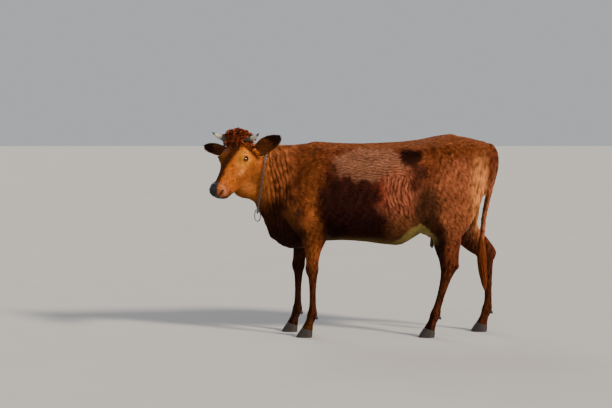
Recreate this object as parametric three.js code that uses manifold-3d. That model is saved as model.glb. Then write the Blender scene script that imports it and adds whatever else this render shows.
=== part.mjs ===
// A young red cow standing, head turned to its left, life size, in millimetres.
// +Z is up, the head points along -X and the cow's left side faces -Y.
// The body is a set of named muscles that melt into one flesh. Closed grids are pushed out
// along rays until they leave that flesh, and thin cuts part them where the parts meet.
import * as THREE from 'three';
import { mergeVertices } from 'three/addons/utils/BufferGeometryUtils.js';
import Module from 'manifold-3d';

const wasm = await Module();
wasm.setup();

// Driving dimensions. Every measure below is for this height, and the whole cow scales with it.
const measuredHeight = 1255;
const withersHeight = 1255;
const cutGap = 0.4;
const melt = 34; // how softly one muscle runs into the next

const headPose = { poll: [-719, -150, 1280], pitch: 44, yaw: 60 }; // nose down, face turned left, degrees
const eyeSize = { radius: 19, along: 132, height: -47, side: 85 };
const lidOpening = { long: 16, high: 10.5, deep: 16, outOfCentre: 22 };
const hoofSize = { length: 104, width: 46, coronetShrink: 0.8 };
const earSize = { width: 118, thickness: 6, cup: 24 };
const chainSize = { linkWidth: 17, clearance: 6, slack: 10 };
const ringSize = { length: 84, width: 46, narrow: 40, wire: 7 };

// Trunk sections: place along the back, back line, belly line, half width, height of the widest
// point, and how square the section is above and below it.
const trunkSections = {
  chest: [-430, 1180, 622, 140, 850, 2.0, 2.0],
  shoulder: [-320, 1232, 596, 182, 860, 1.8, 2.0],
  withers: [-200, 1252, 606, 215, 850, 1.7, 2.0],
  girth: [-60, 1243, 614, 258, 845, 1.85, 2.1],
  ribs: [90, 1238, 608, 306, 845, 2.1, 2.2],
  barrel: [230, 1241, 590, 333, 850, 2.2, 2.2],
  belly: [330, 1249, 590, 326, 865, 2.4, 2.2],
  flank: [440, 1266, 650, 282, 905, 2.7, 2.2],
  hooks: [560, 1293, 720, 246, 1010, 2.9, 2.0],
  croup: [650, 1301, 760, 236, 1020, 2.6, 2.0],
  thurl: [750, 1288, 800, 212, 1030, 2.4, 2.0],
  pins: [850, 1264, 880, 150, 1080, 2.2, 2.0],
  tailhead: [905, 1238, 960, 92, 1110, 2.0, 2.0],
};
const trunkEndRound = 42;

// Legs: half width to the side and fore and aft, distance from the midline, then the place of
// that section in the near (left) and the far (right) leg.
const foreSections = {
  elbow: { side: 58, deep: 82, out: 150, near: [-232, 655], far: [-300, 655] },
  forearm: { side: 50, deep: 55, out: 150, near: [-240, 570], far: [-318, 570] },
  aboveKnee: { side: 38, deep: 43, out: 147, near: [-245, 490], far: [-330, 490] },
  knee: { side: 38, deep: 44, out: 145, near: [-247, 440], far: [-336, 440] },
  belowKnee: { side: 28, deep: 31, out: 144, near: [-243, 388], far: [-336, 388] },
  cannon: { side: 22, deep: 23, out: 143, near: [-243, 300], far: [-338, 300] },
  cannonFoot: { side: 24, deep: 24, out: 142, near: [-243, 205], far: [-340, 205] },
  fetlock: { side: 31, deep: 33, out: 142, near: [-246, 150], far: [-343, 150] },
  pastern: { side: 32, deep: 28, out: 142, near: [-262, 100], far: [-359, 100] },
  coronet: { side: 41, deep: 37, out: 142, near: [-277, 52], far: [-374, 52] },
};
const hindSections = {
  croup: { side: 82, deep: 140, out: 118, near: [722, 1100], far: [722, 1100] },
  rump: { side: 102, deep: 188, out: 138, near: [676, 980], far: [692, 980] },
  thigh: { side: 98, deep: 178, out: 150, near: [644, 860], far: [690, 860] },
  ham: { side: 80, deep: 145, out: 154, near: [620, 750], far: [716, 755] },
  gaskin: { side: 58, deep: 96, out: 152, near: [614, 652], far: [764, 665] },
  shank: { side: 45, deep: 74, out: 150, near: [618, 572], far: [818, 594] },
  aboveHock: { side: 36, deep: 60, out: 148, near: [626, 512], far: [866, 550] },
  hock: { side: 37, deep: 56, out: 147, near: [632, 458], far: [896, 502] },
  belowHock: { side: 29, deep: 37, out: 146, near: [615, 385], far: [909, 427] },
  cannon: { side: 22, deep: 27, out: 146, near: [588, 285], far: [914, 312] },
  cannonFoot: { side: 24, deep: 26, out: 146, near: [563, 200], far: [914, 206] },
  fetlock: { side: 32, deep: 34, out: 146, near: [549, 150], far: [908, 152] },
  pastern: { side: 33, deep: 29, out: 146, near: [530, 100], far: [891, 100] },
  coronet: { side: 41, deep: 37, out: 146, near: [512, 52], far: [875, 52] },
};

const smoothMin = (a, b, k) => {
  const near = Math.max(k - Math.abs(a - b), 0) / k;
  return Math.min(a, b) - (near * near * k) / 4;
};

const across = new THREE.Vector3(0, 1, 0);
const up = new THREE.Vector3(0, 0, 1);
const down = new THREE.Vector3(0, 0, -1);

// The head's own axes: along the face to the nose, out of the forehead, and to the cow's left.
const pitch = THREE.MathUtils.degToRad(headPose.pitch);
const yaw = THREE.MathUtils.degToRad(headPose.yaw);
const faceward = new THREE.Vector3(
  -Math.cos(pitch) * Math.cos(yaw), -Math.cos(pitch) * Math.sin(yaw), -Math.sin(pitch));
const browward = new THREE.Vector3(
  -Math.sin(pitch) * Math.cos(yaw), -Math.sin(pitch) * Math.sin(yaw), Math.cos(pitch));
const leftward = new THREE.Vector3(Math.sin(yaw), -Math.cos(yaw), 0);
const poll = new THREE.Vector3(...headPose.poll);
const inHead = ([along, height, side = 0]) => poll.clone()
  .addScaledVector(faceward, along).addScaledVector(browward, height).addScaledVector(leftward, side);

// Catmull-Rom through rows of numbers: returns the row at share t of the way, 0 to 1.
function rowAt(rows, t) {
  const spot = THREE.MathUtils.clamp(t, 0, 1) * (rows.length - 1);
  const i = Math.min(Math.floor(spot), rows.length - 2);
  const u = spot - i;
  const row = (j) => rows[THREE.MathUtils.clamp(j, 0, rows.length - 1)];
  return rows[0].map((_, k) => {
    const [a, b, c, d] = [row(i - 1)[k], row(i)[k], row(i + 1)[k], row(i + 2)[k]];
    return b + 0.5 * u * (c - a + u * (2 * a - 5 * b + 4 * c - d + u * (3 * (b - c) + d - a)));
  });
}

// A muscle is a chain of elliptical sections, [x, y, z, half width to its side, half depth].
// Its distance is below zero inside and close to true near its skin.
function muscle(rows, sideAxis = across, steps = 4) {
  const count = rows.length > 2 ? (rows.length - 1) * steps : 1;
  const fine = Array.from({ length: count + 1 }, (_, i) => rowAt(rows, i / count));
  const links = fine.slice(1).map((end, i) => {
    const a = new THREE.Vector3(...fine[i]);
    const run = new THREE.Vector3(...end).sub(a);
    const tangent = run.clone().normalize();
    const side = sideAxis.clone().addScaledVector(tangent, -tangent.dot(sideAxis)).normalize();
    return { a, run, tangent, side, deep: tangent.clone().cross(side), from: fine[i], to: end };
  });
  const offset = new THREE.Vector3();
  const distance = (p) => {
    let nearest = Infinity;
    for (const { a, run, tangent, side, deep, from, to } of links) {
      offset.copy(p).sub(a);
      const u = THREE.MathUtils.clamp(offset.dot(run) / run.lengthSq(), 0, 1);
      offset.addScaledVector(run, -u);
      const w = from[3] + (to[3] - from[3]) * u;
      const h = from[4] + (to[4] - from[4]) * u;
      const e = Math.min(w, h);
      const [x, y, z] = [offset.dot(side) / w, offset.dot(deep) / h, offset.dot(tangent) / e];
      const g = Math.hypot(x, y, z);
      nearest = Math.min(nearest, (g - 1) * g / Math.max(Math.hypot(x / w, y / h, z / e), 1e-9));
    }
    return nearest;
  };
  return { distance };
}

// The trunk is one long muscle whose sections are flatter or squarer above and below.
function trunkMuscle(sections) {
  const rows = Object.values(sections);
  const places = rows.map((row) => row[0]);
  const shareAt = (x) => {
    const i = THREE.MathUtils.clamp(places.findIndex((place) => place > x) - 1, 0, rows.length - 2);
    const last = x >= places[places.length - 1];
    return last ? 1 : THREE.MathUtils.clamp(
      (i + (x - places[i]) / (places[i + 1] - places[i])) / (rows.length - 1), 0, 1);
  };
  const table = Array.from({ length: 201 }, (_, i) => {
    const x = places[0] + (places[places.length - 1] - places[0]) * i / 200;
    return rowAt(rows, shareAt(x));
  });
  const distance = (p) => {
    const share = THREE.MathUtils.clamp((p.x - places[0]) / (places[places.length - 1] - places[0]), 0, 1);
    const x = places[0] + share * (places[places.length - 1] - places[0]);
    const i = Math.min(Math.floor(share * 200), 199);
    const u = share * 200 - i;
    const [, top, bottom, half, widest, above, below] = table[i].map((v, k) => v + (table[i + 1][k] - v) * u);
    const rise = p.z - widest;
    const reach = rise > 0 ? top - widest : widest - bottom;
    const n = rise > 0 ? above : below;
    const [a, b] = [Math.abs(p.y) / half, Math.abs(rise) / reach];
    const g = Math.max((a ** n + b ** n) ** (1 / n), 1e-6);
    const slope = g ** (1 - n) * Math.hypot(a ** (n - 1) / half, b ** (n - 1) / reach);
    const c = (p.x - x) / trunkEndRound;
    const whole = Math.hypot(g, c);
    return (whole - 1) / Math.max(Math.hypot(g / whole * slope, c / whole / trunkEndRound), 1e-6);
  };
  return { distance };
}

const sides = { left: -1, right: 1 };
const onSide = (rows, s) => rows.map(([x, y, z, ...sizes]) => [x, s * y, z, ...sizes]);
const paired = (rows) => Object.values(sides).map((s) => muscle(onSide(rows, s)));
const headMuscle = (rows, sideAxis = leftward) =>
  muscle(rows.map(([along, height, side, w, h]) => [...inHead([along, height, side]), w, h]), sideAxis);
const headPair = (rows) => [1, -1].map((s) => headMuscle(
  rows.map(([along, height, side, ...sizes]) => [along, height, s * side, ...sizes])));

// A leg's rows for one side: the left legs are the near ones.
const legRows = (sections, s) => Object.values(sections).map(({ side, deep, out, near, far }) => {
  const [x, z] = s < 0 ? near : far;
  return [x, s * out, z, side, deep];
});

const trunkParts = [
  trunkMuscle(trunkSections),
  ...paired([[548, 196, 1201, 34, 36], [606, 180, 1215, 34, 36]]), // hook bone
  ...paired([[880, 84, 1180, 30, 32], [850, 90, 1170, 34, 36]]), // pin bone
  muscle([[-230, 0, 1212, 40, 40], [60, 0, 1205, 40, 36], [420, 0, 1226, 46, 38],
    [640, 0, 1262, 44, 38]]), // spine
  muscle([[850, 0, 1204, 40, 42], [902, 0, 1190, 34, 40]]), // root of the tail
];
const udderPart = muscle([[540, 0, 690, 88, 62], [640, 0, 672, 96, 64], [720, 0, 720, 70, 60]]);
const neckParts = [
  muscle([[-290, 0, 925, 160, 292], [-420, -12, 985, 126, 250], [-520, -38, 1035, 104, 204],
    [-600, -68, 1075, 92, 168], [-652, -92, 1095, 86, 148]]),
  muscle([[-200, 0, 1198, 44, 42], [-400, -10, 1195, 38, 42], [-540, -45, 1196, 40, 42],
    [-640, -85, 1195, 44, 42]]), // crest
  muscle([[-250, 0, 655, 84, 84], [-380, 0, 650, 84, 88], [-462, 0, 690, 64, 76]]), // brisket
  muscle([[-462, 0, 700, 46, 66], [-522, -10, 770, 28, 52], [-560, -26, 850, 24, 44]]), // dewlap
];
const headParts = [
  headMuscle([[-8, -62, 0, 66, 54], [45, -72, 0, 82, 72], [112, -80, 0, 87, 80], [186, -78, 0, 70, 71],
    [272, -66, 0, 50, 55], [346, -63, 0, 45, 48], [388, -62, 0, 50, 44], [404, -64, 0, 44, 34]]), // skull
  headMuscle([[95, -150, 0, 62, 58], [168, -158, 0, 56, 52], [250, -144, 0, 45, 44],
    [320, -127, 0, 39, 36], [378, -106, 0, 40, 26]]), // lower jaw
  ...headPair([[105, -114, 48, 34, 60], [190, -120, 42, 28, 50]]), // cheek
  ...headPair([[92, -42, 65, 28, 28], [134, -42, 69, 28, 24]]), // brow
  ...headPair([[142, -74, 71, 20, 20], [224, -92, 53, 14, 16]]), // cheekbone
  ...headPair([[22, -72, 66, 30, 36], [18, -80, 84, 19, 22]]), // root of the ear
  ...headPair([[16, -14, 40, 36, 36], [14, -8, 70, 28, 28]]), // root of the horn
  headMuscle([[-10, 10, -76, 34, 34], [-14, 26, -34, 42, 42], [-14, 26, 34, 42, 42],
    [-10, 10, 76, 34, 34]], faceward), // poll curls
  headMuscle([[8, -24, 0, 72, 40], [64, -42, 0, 64, 34]]), // forelock
  ...headPair([[236, -104, 34, 18, 40], [318, -100, 30, 19, 34], [384, -94, 30, 20, 24]]), // lips
  ...headPair([[384, -48, 22, 29, 28], [398, -50, 23, 25, 24]]), // nose pad
  headMuscle([[380, -122, 0, 33, 15], [356, -126, 0, 32, 16]]), // chin
];
const throatParts = [
  muscle([[...inHead([332, -134]), 30, 30], [...inHead([262, -168]), 34, 36],
    [...inHead([185, -196]), 42, 47], [-700, -148, 960, 48, 54], [-630, -84, 944, 46, 58]]),
  muscle([[...inHead([78, -112, 60]), 46, 52], [-608, -110, 1105, 52, 66],
    [-540, -78, 1075, 50, 80]]), // the fold behind the left cheek
];

// Muscles of the two leg pairs, for the right side; the hock's point and tendon follow each leg's place.
const shoulder = [[-165, 86, 1170, 44, 74], [-240, 120, 1040, 58, 100], [-325, 144, 900, 60, 104]];
const upperArm = [[-372, 140, 832, 66, 76], [-300, 158, 750, 62, 88], [-232, 152, 672, 56, 82]];
const stifleFold = [[560, 190, 760, 60, 74], [502, 190, 728, 38, 58], [452, 172, 706, 24, 44]];
const tendonReach = { left: 74, right: 92 };
const legParts = {};
for (const [side, s] of Object.entries(sides)) {
  const [hock, gaskin] = [hindSections.hock, hindSections.gaskin].map((row) => (s < 0 ? row.near : row.far));
  const hockTendon = [[hock[0] + 42, hindSections.hock.out, hock[1] + 10, 19, 24],
    [hock[0] + 46, hindSections.hock.out, hock[1] + 40, 15, 16],
    [gaskin[0] + tendonReach[side], hindSections.hock.out, gaskin[1] - 20, 14, 22]];
  legParts[`foreleg_${side}`] = [muscle(legRows(foreSections, s)), muscle(onSide(shoulder, s)),
    muscle(onSide(upperArm, s))];
  legParts[`hindleg_${side}`] = [muscle(legRows(hindSections, s)), muscle(onSide(hockTendon, s)),
    muscle(onSide(stifleFold, s))];
}

const tailParts = [muscle([[892, 0, 1214, 36, 36], [930, -4, 1172, 31, 30], [938, -10, 1090, 25, 25],
  [915, -15, 980, 22, 21], [888, -20, 870, 19, 19], [868, -22, 760, 18, 18], [858, -22, 640, 17, 17]])];

// All flesh together is smooth where muscles of a kind meet. The hollow in front of each hook bone
// is pressed out of it, and the tail stays apart from the thighs it hangs between.
const blend = (parts, k) => (p) => parts.reduce((d, part) => smoothMin(d, part.distance(p), k), 1e4);
const hollows = paired([[335, 322, 1165, 44, 56], [415, 304, 1180, 44, 58]]);
function fleshOf(parts, tail = []) {
  const [main, thin] = [blend(parts, melt), blend(tail, melt)];
  return (p) => {
    const pressed = hollows.reduce((d, cut) => -smoothMin(-d, cut.distance(p), 60), main(p));
    return tail.length ? smoothMin(pressed, thin(p), 14) : pressed;
  };
}

// How far from a point a ray leaves the flesh, no further than the limit.
function leaves(flesh, from, ray, limit) {
  const p = new THREE.Vector3();
  const depth = (reach) => -flesh(p.copy(from).addScaledVector(ray, reach));
  let [inside, outside] = [0, 0];
  for (let d = depth(0); d > 0 && outside < limit; d = depth(outside)) {
    inside = outside;
    outside += Math.max(3, 0.7 * d);
  }
  if (depth(outside) > 0) return limit;
  for (let i = 0; i < 8; i += 1) {
    const middle = (inside + outside) / 2;
    if (depth(middle) > 0) inside = middle;
    else outside = middle;
  }
  return Math.min(inside, limit);
}

// A closed skin round a line of centres. Rings stand across the line, and both ends are capped by
// rings that fan out like a sphere's. Each ray may go `past` its own flesh where another joins it.
function skinRound({ own, follow = own, past = 34, line, side, around, along, tilt = null, caps = 3 }) {
  const grid = new THREE.SphereGeometry(1, around, along);
  const { position, uv } = grid.attributes;
  for (let i = 0; i < position.count; i += 1) {
    const ring = Math.round((1 - uv.getY(i)) * along);
    const turn = Math.round(uv.getX(i) * around) % around / around * 2 * Math.PI;
    const share = THREE.MathUtils.clamp((ring - caps) / (along - 2 * caps), 0, 1);
    const spot = line(share);
    const tangent = tilt ? tilt.clone()
      : line(Math.min(share + 0.01, 1)).sub(line(Math.max(share - 0.01, 0))).normalize();
    const out = side.clone().addScaledVector(tangent, -tangent.dot(side)).normalize();
    const deep = tangent.clone().cross(out);
    const lean = Math.max(caps - ring, ring - along + caps, 0) / caps * Math.PI / 2;
    const ray = out.multiplyScalar(Math.cos(turn)).addScaledVector(deep, Math.sin(turn))
      .multiplyScalar(Math.cos(lean)).addScaledVector(tangent, Math.sin(lean) * (ring < along / 2 ? -1 : 1));
    const ownReach = leaves(own, spot, ray, 700);
    const reach = own === follow ? ownReach : leaves(follow, spot, ray, ownReach + past);
    spot.addScaledVector(ray, reach);
    position.setXYZ(i, spot.x, spot.y, spot.z);
  }
  return solid(grid);
}

// A closed three.js geometry as a manifold-3d solid whose faces point out.
function solid(geometry) {
  geometry.deleteAttribute('normal');
  geometry.deleteAttribute('uv');
  const merged = mergeVertices(geometry, 1e-3);
  const corners = merged.index.array;
  const kept = [];
  for (let i = 0; i < corners.length; i += 3) {
    const [a, b, c] = [corners[i], corners[i + 1], corners[i + 2]];
    if (a !== b && b !== c && c !== a) kept.push(a, b, c);
  }
  const make = (triVerts) => new wasm.Manifold(new wasm.Mesh({
    numProp: 3, vertProperties: merged.attributes.position.array, triVerts: new Uint32Array(triVerts),
  }));
  const made = make(kept);
  return made.volume() > 0 ? made : make(kept.reverse());
}

// Everything beyond a plane, on the side its normal points to, as a large block.
function blockBeyond(point, normal, size = 3000) {
  const block = new THREE.BoxGeometry(size, size, size).translate(0, 0, size / 2);
  block.applyQuaternion(new THREE.Quaternion().setFromUnitVectors(up, normal.clone().normalize()));
  return solid(block.translate(point.x, point.y, point.z));
}

// A block whose outline is drawn in side view (x, z) and that runs from `inner` to 600 out on side s.
function sideBlock(outline, inner, s, grow = 0) {
  const mean = (k) => outline.reduce((sum, spot) => sum + spot[k], 0) / outline.length;
  const [middleX, middleZ] = [mean(0), mean(1)];
  const corners = outline.map(([x, z]) => new THREE.Vector2(
    x + Math.sign(x - middleX) * grow, z + Math.sign(z - middleZ) * grow));
  const curve = new THREE.SplineCurve([...corners, corners[0]]);
  const shape = new THREE.Shape(curve.getPoints(outline.length * 3));
  const block = new THREE.ExtrudeGeometry(shape, { depth: 600 - inner + grow, bevelEnabled: false });
  block.rotateX(Math.PI / 2).translate(0, s > 0 ? 600 : -inner + grow, 0);
  return solid(block);
}

// The same solid, moved.
function moved(made, [x, y, z]) {
  const { numProp, vertProperties, triVerts } = made.getMesh();
  const places = vertProperties.map((v, i) => v + [x, y, z][i % numProp]);
  return new wasm.Manifold(new wasm.Mesh({ numProp, vertProperties: places, triVerts }));
}

// What is left of a piece once the solids it stands on, moved towards it by the gap, are taken away.
const clearOf = (piece, towards, ...others) => others.reduce((left, other) =>
  left.subtract(moved(other, towards.clone().setLength(cutGap).toArray())), piece);

// A grid drawn along a curve, round in section, closed at both ends.
function sweep(curve, radiusAt, around, along) {
  const grid = new THREE.SphereGeometry(1, around, along);
  const { position, uv } = grid.attributes;
  for (let i = 0; i < position.count; i += 1) {
    const ring = Math.round((1 - uv.getY(i)) * along);
    const t = THREE.MathUtils.clamp((ring - 1) / (along - 2), 0, 1);
    const turn = Math.round(uv.getX(i) * around) % around / around * 2 * Math.PI;
    const tangent = curve.getTangent(t);
    const out = new THREE.Vector3(0.31, 0.87, 0.38).cross(tangent).normalize();
    const deep = tangent.clone().cross(out);
    const radius = ring === 0 || ring === along ? 0 : radiusAt(t);
    const spot = curve.getPoint(t).addScaledVector(out, Math.cos(turn) * radius)
      .addScaledVector(deep, Math.sin(turn) * radius);
    position.setXYZ(i, spot.x, spot.y, spot.z);
  }
  return solid(grid);
}

// The flesh is one body, and each grid follows all of it round its own line.
const allParts = [
  ...trunkParts, ...neckParts, ...headParts, ...throatParts, ...Object.values(legParts).flat()];
const allFlesh = fleshOf(allParts);
const fleshAndTail = fleshOf(allParts, tailParts);
const neckFlesh = fleshOf([...trunkParts, ...neckParts, ...throatParts]);
const along = (rows) => (t) => new THREE.Vector3(...rowAt(rows, t));
const trunkSkin = skinRound({
  own: fleshOf([...trunkParts, ...neckParts]), follow: allFlesh, side: across, around: 28, along: 30, caps: 2,
  tilt: new THREE.Vector3(1, 0, 0),
  line: along([[-505, -5, 900], [-200, 0, 900], [60, 0, 915], [330, 0, 935], [620, 0, 1040], [900, 0, 1130]]),
});
const neckSkin = skinRound({
  own: neckFlesh, follow: allFlesh, past: 60, side: across, around: 22,
  along: 11, caps: 2, line: along([[-330, -2, 945], [-420, -12, 985], [-520, -38, 1035], [-660, -94, 1095]]),
});
const headSkin = skinRound({
  own: fleshOf(headParts), follow: allFlesh, past: 40, side: leftward, around: 22, along: 24,
  line: along([[-12, -66], [120, -92], [260, -84], [392, -68]].map((spot) => inHead(spot).toArray())),
});
const legTops = {
  foreleg: [[-215, 118, 1105], [-285, 138, 960], [-300, 150, 820], [-262, 150, 730]],
  hindleg: [],
};
const legSkins = {};
for (const [name, parts] of Object.entries(legParts)) {
  const [limb, side] = name.split('_');
  const s = sides[side];
  const rows = legRows(limb === 'foreleg' ? foreSections : hindSections, s).map((row) => row.slice(0, 3));
  legSkins[name] = skinRound({
    own: fleshOf(parts), follow: allFlesh, past: limb === 'foreleg' ? 170 : 110, side: across, around: 13,
    along: 25, caps: 2,
    line: along([...legTops[limb].map(([x, y, z]) => [x, s * y, z]), ...rows]),
  });
}

const nodes = {};
const hair = 0x8a4524;
const put = (name, made, color, roughness = 0.8, metalness = 0) => {
  nodes[name] = { made, color, roughness, metalness };
};

// Planes across the neck and behind the ears and jaw part the head and the neck.
const neckPlane = { point: new THREE.Vector3(-440, 0, 925), toNeck: new THREE.Vector3(-0.9925, 0, 0.122) };
const headPlane = {
  point: new THREE.Vector3(-664, -73, 1185), toHead: new THREE.Vector3(-0.567, -0.81, -0.145),
};
const cutAt = ({ point }, normal) => blockBeyond(point.clone().addScaledVector(normal, cutGap / 2), normal);
const front = headSkin.add(neckSkin).intersect(cutAt(neckPlane, neckPlane.toNeck));
let trunk = trunkSkin.intersect(cutAt(neckPlane, neckPlane.toNeck.clone().negate()));
let head = front.intersect(cutAt(headPlane, headPlane.toHead));
const neck = front.intersect(cutAt(headPlane, headPlane.toHead.clone().negate()));
put('neck', neck, hair);

// Legs are cut out by blocks drawn in side view, and end at a slanting plane above the hooves.
const legBlocks = {
  fore: { inner: 92, sections: foreSections, outline: [[-422, -60], [-418, 640], [-412, 840], [-330, 1050],
    [-215, 1120], [-140, 1010], [-116, 700], [-110, -60]] },
  hind: { inner: 62, sections: hindSections, outline: [[330, -60], [404, 560], [424, 700], [456, 830],
    [535, 1000], [660, 1110], [790, 1120], [1000, 980], [1010, -60]] },
};
const back = new THREE.Vector3(1, 0, 0);
const coronetSlope = 0.3;
const toLeg = new THREE.Vector3(coronetSlope, 0, 1).normalize();
for (const [limb, { inner, sections, outline }] of Object.entries(legBlocks)) {
  for (const [side, s] of Object.entries(sides)) {
    const [x, z] = s < 0 ? sections.coronet.near : sections.coronet.far;
    const leg = legSkins[`${limb}leg_${side}`].intersect(sideBlock(outline, inner, s))
      .intersect(cutAt({ point: new THREE.Vector3(x, 0, z) }, toLeg));
    trunk = trunk.subtract(sideBlock(outline, inner - cutGap, s, cutGap));
    put(`${limb}leg_${side}`, leg, hair);
    for (const [claw, c] of Object.entries({ inner: -s, outer: s })) {
      const y = s * sections.coronet.out + c * (hoofSize.width / 2 + 1.5);
      put(`hoof_${limb}_${side}_${claw}`, hoof(x, y, z, c), 0x2b2420, 0.45);
      put(`dewclaw_${limb}_${side}_${claw}`, clearOf(dewclaw(sections, s, c), back, leg), 0x2b2420, 0.5);
    }
  }
}

// A claw: flat sole, sloping front wall, and a top cut along the coronet.
function hoof(x, y, z, c) {
  const { length, width, coronetShrink } = hoofSize;
  const claw = new THREE.CylinderGeometry(1, 1, 1, 11, 1);
  const { position } = claw.attributes;
  for (let i = 0; i < position.count; i += 1) {
    const [toeward, outward] = [-position.getX(i), position.getZ(i)];
    const rise = position.getY(i) + 0.5;
    const toe = Math.max(toeward, 0);
    const reach = length * (toeward > 0 ? 0.66 - 0.34 * rise : 0.34 - 0.02 * rise);
    const place = x - 6 * (1 - rise) - toeward * reach;
    const half = width / 2 * (1 - (1 - coronetShrink) * rise / 2) * (1 - 0.2 * toe ** 3);
    const top = z - coronetSlope * (place - x) - cutGap / 2;
    position.setXYZ(i, place, y + outward * half - c * toe * toe * 5 * (1 - rise), rise * top);
  }
  return solid(claw);
}

// A dewclaw: a short blunt nub behind the fetlock, pointing down and back.
function dewclaw(sections, s, c) {
  const [fetlockX, fetlockZ] = s < 0 ? sections.fetlock.near : sections.fetlock.far;
  const nub = new THREE.CylinderGeometry(7, 12, 24, 5, 1).rotateX(-Math.PI / 2).rotateY(-0.64);
  return solid(nub.translate(fetlockX + 28, s * sections.fetlock.out + c * 16, fetlockZ - 24));
}

// Tail and its switch of long hair.
const tailCut = new THREE.Vector3(0, 0, 640);
const tail = skinRound({
  own: fleshOf([], tailParts), follow: fleshAndTail, past: 10, side: across, around: 8, along: 14, caps: 2,
  line: along([[900, 0, 1212], [932, -5, 1172], [938, -10, 1090], [915, -15, 980], [888, -20, 870],
    [868, -22, 760], [858, -22, 642]]),
});
const hindLegs = [nodes.hindleg_left.made, nodes.hindleg_right.made];
put('tail', clearOf(tail.subtract(blockBeyond(tailCut, down)), back, trunk, ...hindLegs), hair);
const switchLine = new THREE.CatmullRomCurve3([[857, -22, 638], [855, -22, 590], [856, -23, 520],
  [862, -24, 430], [872, -26, 345], [878, -26, 290]].map((spot) => new THREE.Vector3(...spot)));
const switchRadii = [[16], [27], [33], [32], [23], [7]];
put('tail_switch', sweep(switchLine, (t) => rowAt(switchRadii, t)[0], 8, 10), 0x3a1f12);

// Udder and teats, between the thighs.
const udder = clearOf(skinRound({
  own: udderPart.distance, side: across, around: 12, along: 8,
  line: along([[540, 0, 690], [640, 0, 680], [716, 0, 712]]),
}), down, trunk, ...hindLegs);
put('udder', udder, 0xa8825e);
for (const [side, s] of Object.entries(sides)) {
  for (const [place, [x, z]] of Object.entries({ fore: [534, 622], hind: [618, 620] })) {
    const teat = new THREE.CatmullRomCurve3([new THREE.Vector3(x + 4, s * 42, z + 22),
      new THREE.Vector3(x, s * 45, z - 20), new THREE.Vector3(x - 4, s * 46, z - 54)]);
    put(`teat_${place}_${side}`, clearOf(sweep(teat, (t) => 11 - 2 * t, 6, 4), down, udder), 0xa8825e);
  }
}

// Eyes sit in sockets behind almond openings that look out, forward and a little up. Nostrils are pits.
for (const [side, s] of Object.entries({ left: 1, right: -1 })) {
  const centre = inHead([eyeSize.along, eyeSize.height, s * eyeSize.side]);
  const gaze = headWay(0.3, 0.36, s * 0.885);
  const long = headWay(0.9, 0.434, 0).addScaledVector(gaze, -headWay(0.9, 0.434, 0).dot(gaze)).normalize();
  const { long: half, high, deep, outOfCentre } = lidOpening;
  const opening = centre.clone().addScaledVector(gaze, outOfCentre);
  head = head.subtract(ball(opening, [half, high, deep], 8, 6, [long, gaze.clone().cross(long), gaze]));
  head = head.subtract(ball(centre, Array(3).fill(eyeSize.radius + cutGap), 8, 6));
  put(`eye_${side}`, ball(centre, Array(3).fill(eyeSize.radius), 8, 6), 0x120a07, 0.1);
  head = head.subtract(ball(inHead([432, -54, s * 34]), [20, 9, 11], 8, 5));
}

// A direction given along the face, out of the forehead and to the left.
function headWay(f, u, l) {
  return inHead([f, u, l]).sub(poll).normalize();
}

// A ball stretched along three axes, the head's own unless others are given.
function ball(centre, radii, around, along, axes = [faceward, browward, leftward]) {
  const made = new THREE.SphereGeometry(1, around, along);
  const stretched = axes.map((axis, k) => axis.clone().multiplyScalar(radii[k]));
  made.applyMatrix4(new THREE.Matrix4().makeBasis(...stretched).setPosition(centre));
  return solid(made);
}
put('head', head, hair);

// Ears: cupped leaves with the hollow side to the front.
const earHalves = [[23], [36], [46], [52], [51], [45], [34], [16]];
const earTips = { left: [-84, -54, 250], right: [40, -30, -252] };
for (const [side, tip] of Object.entries(earTips)) {
  const base = inHead([18, -84, Math.sign(tip[2]) * 84]);
  const run = inHead(tip).sub(base);
  const lengthwise = run.clone().normalize();
  const open = faceward.clone().addScaledVector(lengthwise, -lengthwise.dot(faceward)).normalize();
  const broad = lengthwise.clone().cross(open);
  const leaf = new THREE.BoxGeometry(1, 2, 1, 7, 4, 1);
  const { position } = leaf.attributes;
  for (let i = 0; i < position.count; i += 1) {
    const [t, w] = [position.getX(i) + 0.5, position.getY(i)];
    const half = rowAt(earHalves, t)[0] * earSize.width / 104;
    const fold = earSize.cup * (1.25 - 0.75 * t) * w * w - 6 * Math.sin(Math.PI * t);
    const spot = base.clone().addScaledVector(run, t).addScaledVector(broad, half * w)
      .addScaledVector(open, fold + position.getZ(i) * earSize.thickness * (1.6 - 0.9 * t));
    position.setXYZ(i, spot.x, spot.y, spot.z);
  }
  put(`ear_${side}`, clearOf(solid(leaf), run, head), 0x5a2c14);
}

// Horns: short, out to the side and curling up.
for (const [side, s] of Object.entries({ left: 1, right: -1 })) {
  const curve = new THREE.QuadraticBezierCurve3(inHead([10, 4, s * 62]), inHead([10, 16, s * 144]),
    inHead([-2, 56, s * 174]));
  const horn = sweep(curve, (t) => 19.5 * (1 - t) ** 0.7 + 2.5, 7, 7);
  put(`horn_${side}`, clearOf(horn, leftward.clone().multiplyScalar(s), head), 0x6d644c, 0.45);
}

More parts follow.
